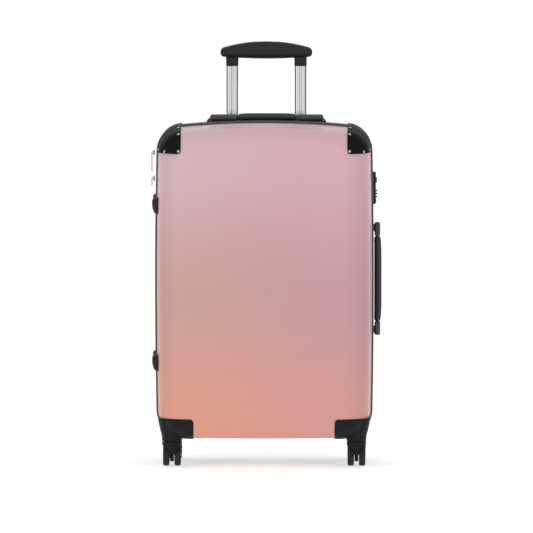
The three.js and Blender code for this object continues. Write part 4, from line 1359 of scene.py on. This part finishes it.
def build_floor():
    """A wide pale floor that gives off a little light of its own."""
    made, shader = principled("studio_paper", (0.60, 0.60, 0.605), 0.85, specular=0.1)
    if shader:
        grain(shader, 120, 0.02 * MM, tone=((0.595, 0.595, 0.60), (0.605, 0.605, 0.61)))
        shader.inputs["Emission Color"].default_value = (1, 1, 1, 1)
        shader.inputs["Emission Strength"].default_value = bpy.context.scene.suitcase_stage.glow
    bm = bmesh.new()
    bmesh.ops.create_grid(bm, x_segments=8, y_segments=8, size=70)
    mesh = bpy.data.meshes.new("studio_floor")
    bm.to_mesh(mesh)
    bm.free()
    mesh.shade_smooth()
    mesh.materials.append(made)
    floor = bpy.data.objects.new("studio_floor", mesh)
    bpy.context.scene.collection.objects.link(floor)


def add_area(name, place, aim, size, power):
    """A rectangular soft panel turned towards a point."""
    data = bpy.data.lights.new(name, "AREA")
    data.shape = "RECTANGLE"
    data.size, data.size_y = size
    data.energy = power
    light = bpy.data.objects.new(name, data)
    light.location = place
    light.rotation_mode = "QUATERNION"
    light.rotation_quaternion = (Vector(aim) - Vector(place)).to_track_quat("-Z", "Y")
    bpy.context.scene.collection.objects.link(light)


def build_lights():
    """A studio dome, bright overhead and dim to the two sides, with soft panels."""
    stage = bpy.context.scene.suitcase_stage
    world = bpy.data.worlds.new("studio")
    world.use_nodes = True
    bpy.context.scene.world = world
    background = world.node_tree.nodes["Background"]
    split = node(background, "ShaderNodeSeparateXYZ")
    link(background, node(background, "ShaderNodeTexCoord").outputs["Generated"], split.inputs["Vector"])
    up = map_range(background, split.outputs["Z"], end=(stage.horizon, stage.zenith), easing="SMOOTHSTEP")
    aside = calculate(background, "ABSOLUTE", split.outputs["X"])
    flag = map_range(background, aside, start=(0.62, 0.90), end=(1.0, stage.sides), easing="SMOOTHSTEP")
    link(background, calculate(background, "MULTIPLY", up, flag), background.inputs["Strength"])
    background.inputs["Color"].default_value = (1, 1, 1, 1)
    aim = (0, 0, 0.4)
    add_area("key_left", (-2.3, -3.0, 1.2), aim, (1.6, 2.4), stage.key)
    add_area("fill_front", (0.9, -4.2, 1.0), aim, (1.0, 2.4), stage.fill)


# ---------------------------------------------------------------- operators and panel


class SUITCASE_OT_stage(bpy.types.Operator):
    """Make the camera, floor and lights."""

    bl_idname = "suitcase.stage"
    bl_label = "Stage"

    def execute(self, context):
        build_stage()
        return {"FINISHED"}


class SUITCASE_OT_shells(bpy.types.Operator):
    """Make the printed front shell and the ribbed back shell."""

    bl_idname = "suitcase.shells"
    bl_label = "Shells"

    def execute(self, context):
        build_shells()
        return {"FINISHED"}


class SUITCASE_OT_linings(bpy.types.Operator):
    """Make the cloth linings and packing straps."""

    bl_idname = "suitcase.linings"
    bl_label = "Linings"

    def execute(self, context):
        build_linings()
        return {"FINISHED"}


class SUITCASE_OT_zip(bpy.types.Operator):
    """Make the zip tapes, teeth and welts."""

    bl_idname = "suitcase.zip"
    bl_label = "Zip"

    def execute(self, context):
        build_zip()
        return {"FINISHED"}


class SUITCASE_OT_gusset(bpy.types.Operator):
    """Make the cloth hinge on the left side."""

    bl_idname = "suitcase.gusset"
    bl_label = "Hinge Gusset"

    def execute(self, context):
        build_gusset()
        return {"FINISHED"}


class SUITCASE_OT_guards(bpy.types.Operator):
    """Make the upper corner guards and rivets."""

    bl_idname = "suitcase.guards"
    bl_label = "Corner Guards"

    def execute(self, context):
        build_guards()
        return {"FINISHED"}


class SUITCASE_OT_housings(bpy.types.Operator):
    """Make the wheel housings."""

    bl_idname = "suitcase.housings"
    bl_label = "Wheel Housings"

    def execute(self, context):
        build_housings()
        return {"FINISHED"}


class SUITCASE_OT_feet(bpy.types.Operator):
    """Make the side feet."""

    bl_idname = "suitcase.feet"
    bl_label = "Side Feet"

    def execute(self, context):
        build_feet()
        return {"FINISHED"}


class SUITCASE_OT_casters(bpy.types.Operator):
    """Make the forks, axles and wheels."""

    bl_idname = "suitcase.casters"
    bl_label = "Casters"

    def execute(self, context):
        build_casters()
        return {"FINISHED"}


class SUITCASE_OT_trolley(bpy.types.Operator):
    """Make the tubes, grip, button, bezel and base."""

    bl_idname = "suitcase.trolley"
    bl_label = "Trolley Handle"

    def execute(self, context):
        build_trolley()
        return {"FINISHED"}


class SUITCASE_OT_handles(bpy.types.Operator):
    """Make the top and side carry handles."""

    bl_idname = "suitcase.handles"
    bl_label = "Carry Handles"

    def execute(self, context):
        build_handles()
        return {"FINISHED"}


class SUITCASE_OT_lock(bpy.types.Operator):
    """Make the combination lock."""

    bl_idname = "suitcase.lock"
    bl_label = "Lock"

    def execute(self, context):
        build_lock()
        return {"FINISHED"}


class SUITCASE_OT_sliders(bpy.types.Operator):
    """Make the zip sliders and pulls."""

    bl_idname = "suitcase.sliders"
    bl_label = "Zip Sliders"

    def execute(self, context):
        build_sliders()
        return {"FINISHED"}


STEPS = [
    SUITCASE_OT_stage,
    SUITCASE_OT_shells,
    SUITCASE_OT_linings,
    SUITCASE_OT_zip,
    SUITCASE_OT_gusset,
    SUITCASE_OT_guards,
    SUITCASE_OT_housings,
    SUITCASE_OT_feet,
    SUITCASE_OT_casters,
    SUITCASE_OT_trolley,
    SUITCASE_OT_handles,
    SUITCASE_OT_lock,
    SUITCASE_OT_sliders,
]


class SUITCASE_PT_panel(bpy.types.Panel):
    """Lists the suitcase's pieces and their sizes."""

    bl_label = "Suitcase"
    bl_idname = "SUITCASE_PT_panel"
    bl_space_type = "VIEW_3D"
    bl_region_type = "UI"
    bl_category = "Suitcase"

    def draw(self, context):
        layout = self.layout
        for one in STEPS:
            layout.operator(one.bl_idname)
        for settings in SETTINGS:
            group, box = getattr(context.scene, settings), layout.box()
            for name in group.__annotations__:
                box.prop(group, name)


SETTINGS = {
    "suitcase_case": SuitcaseCaseSettings,
    "suitcase_colours": SuitcaseColourSettings,
    "suitcase_stage": SuitcaseStageSettings,
}


def register():
    for name, group in SETTINGS.items():
        bpy.utils.register_class(group)
        setattr(bpy.types.Scene, name, PointerProperty(type=group))
    for one in [*STEPS, SUITCASE_PT_panel]:
        bpy.utils.register_class(one)


def unregister():
    for one in reversed([*STEPS, SUITCASE_PT_panel]):
        bpy.utils.unregister_class(one)
    for name, group in SETTINGS.items():
        delattr(bpy.types.Scene, name)
        bpy.utils.unregister_class(group)


def main():
    register()
    for one in STEPS:
        group, name = one.bl_idname.split(".")
        getattr(getattr(bpy.ops, group), name)()


if __name__ == "__main__":
    main()
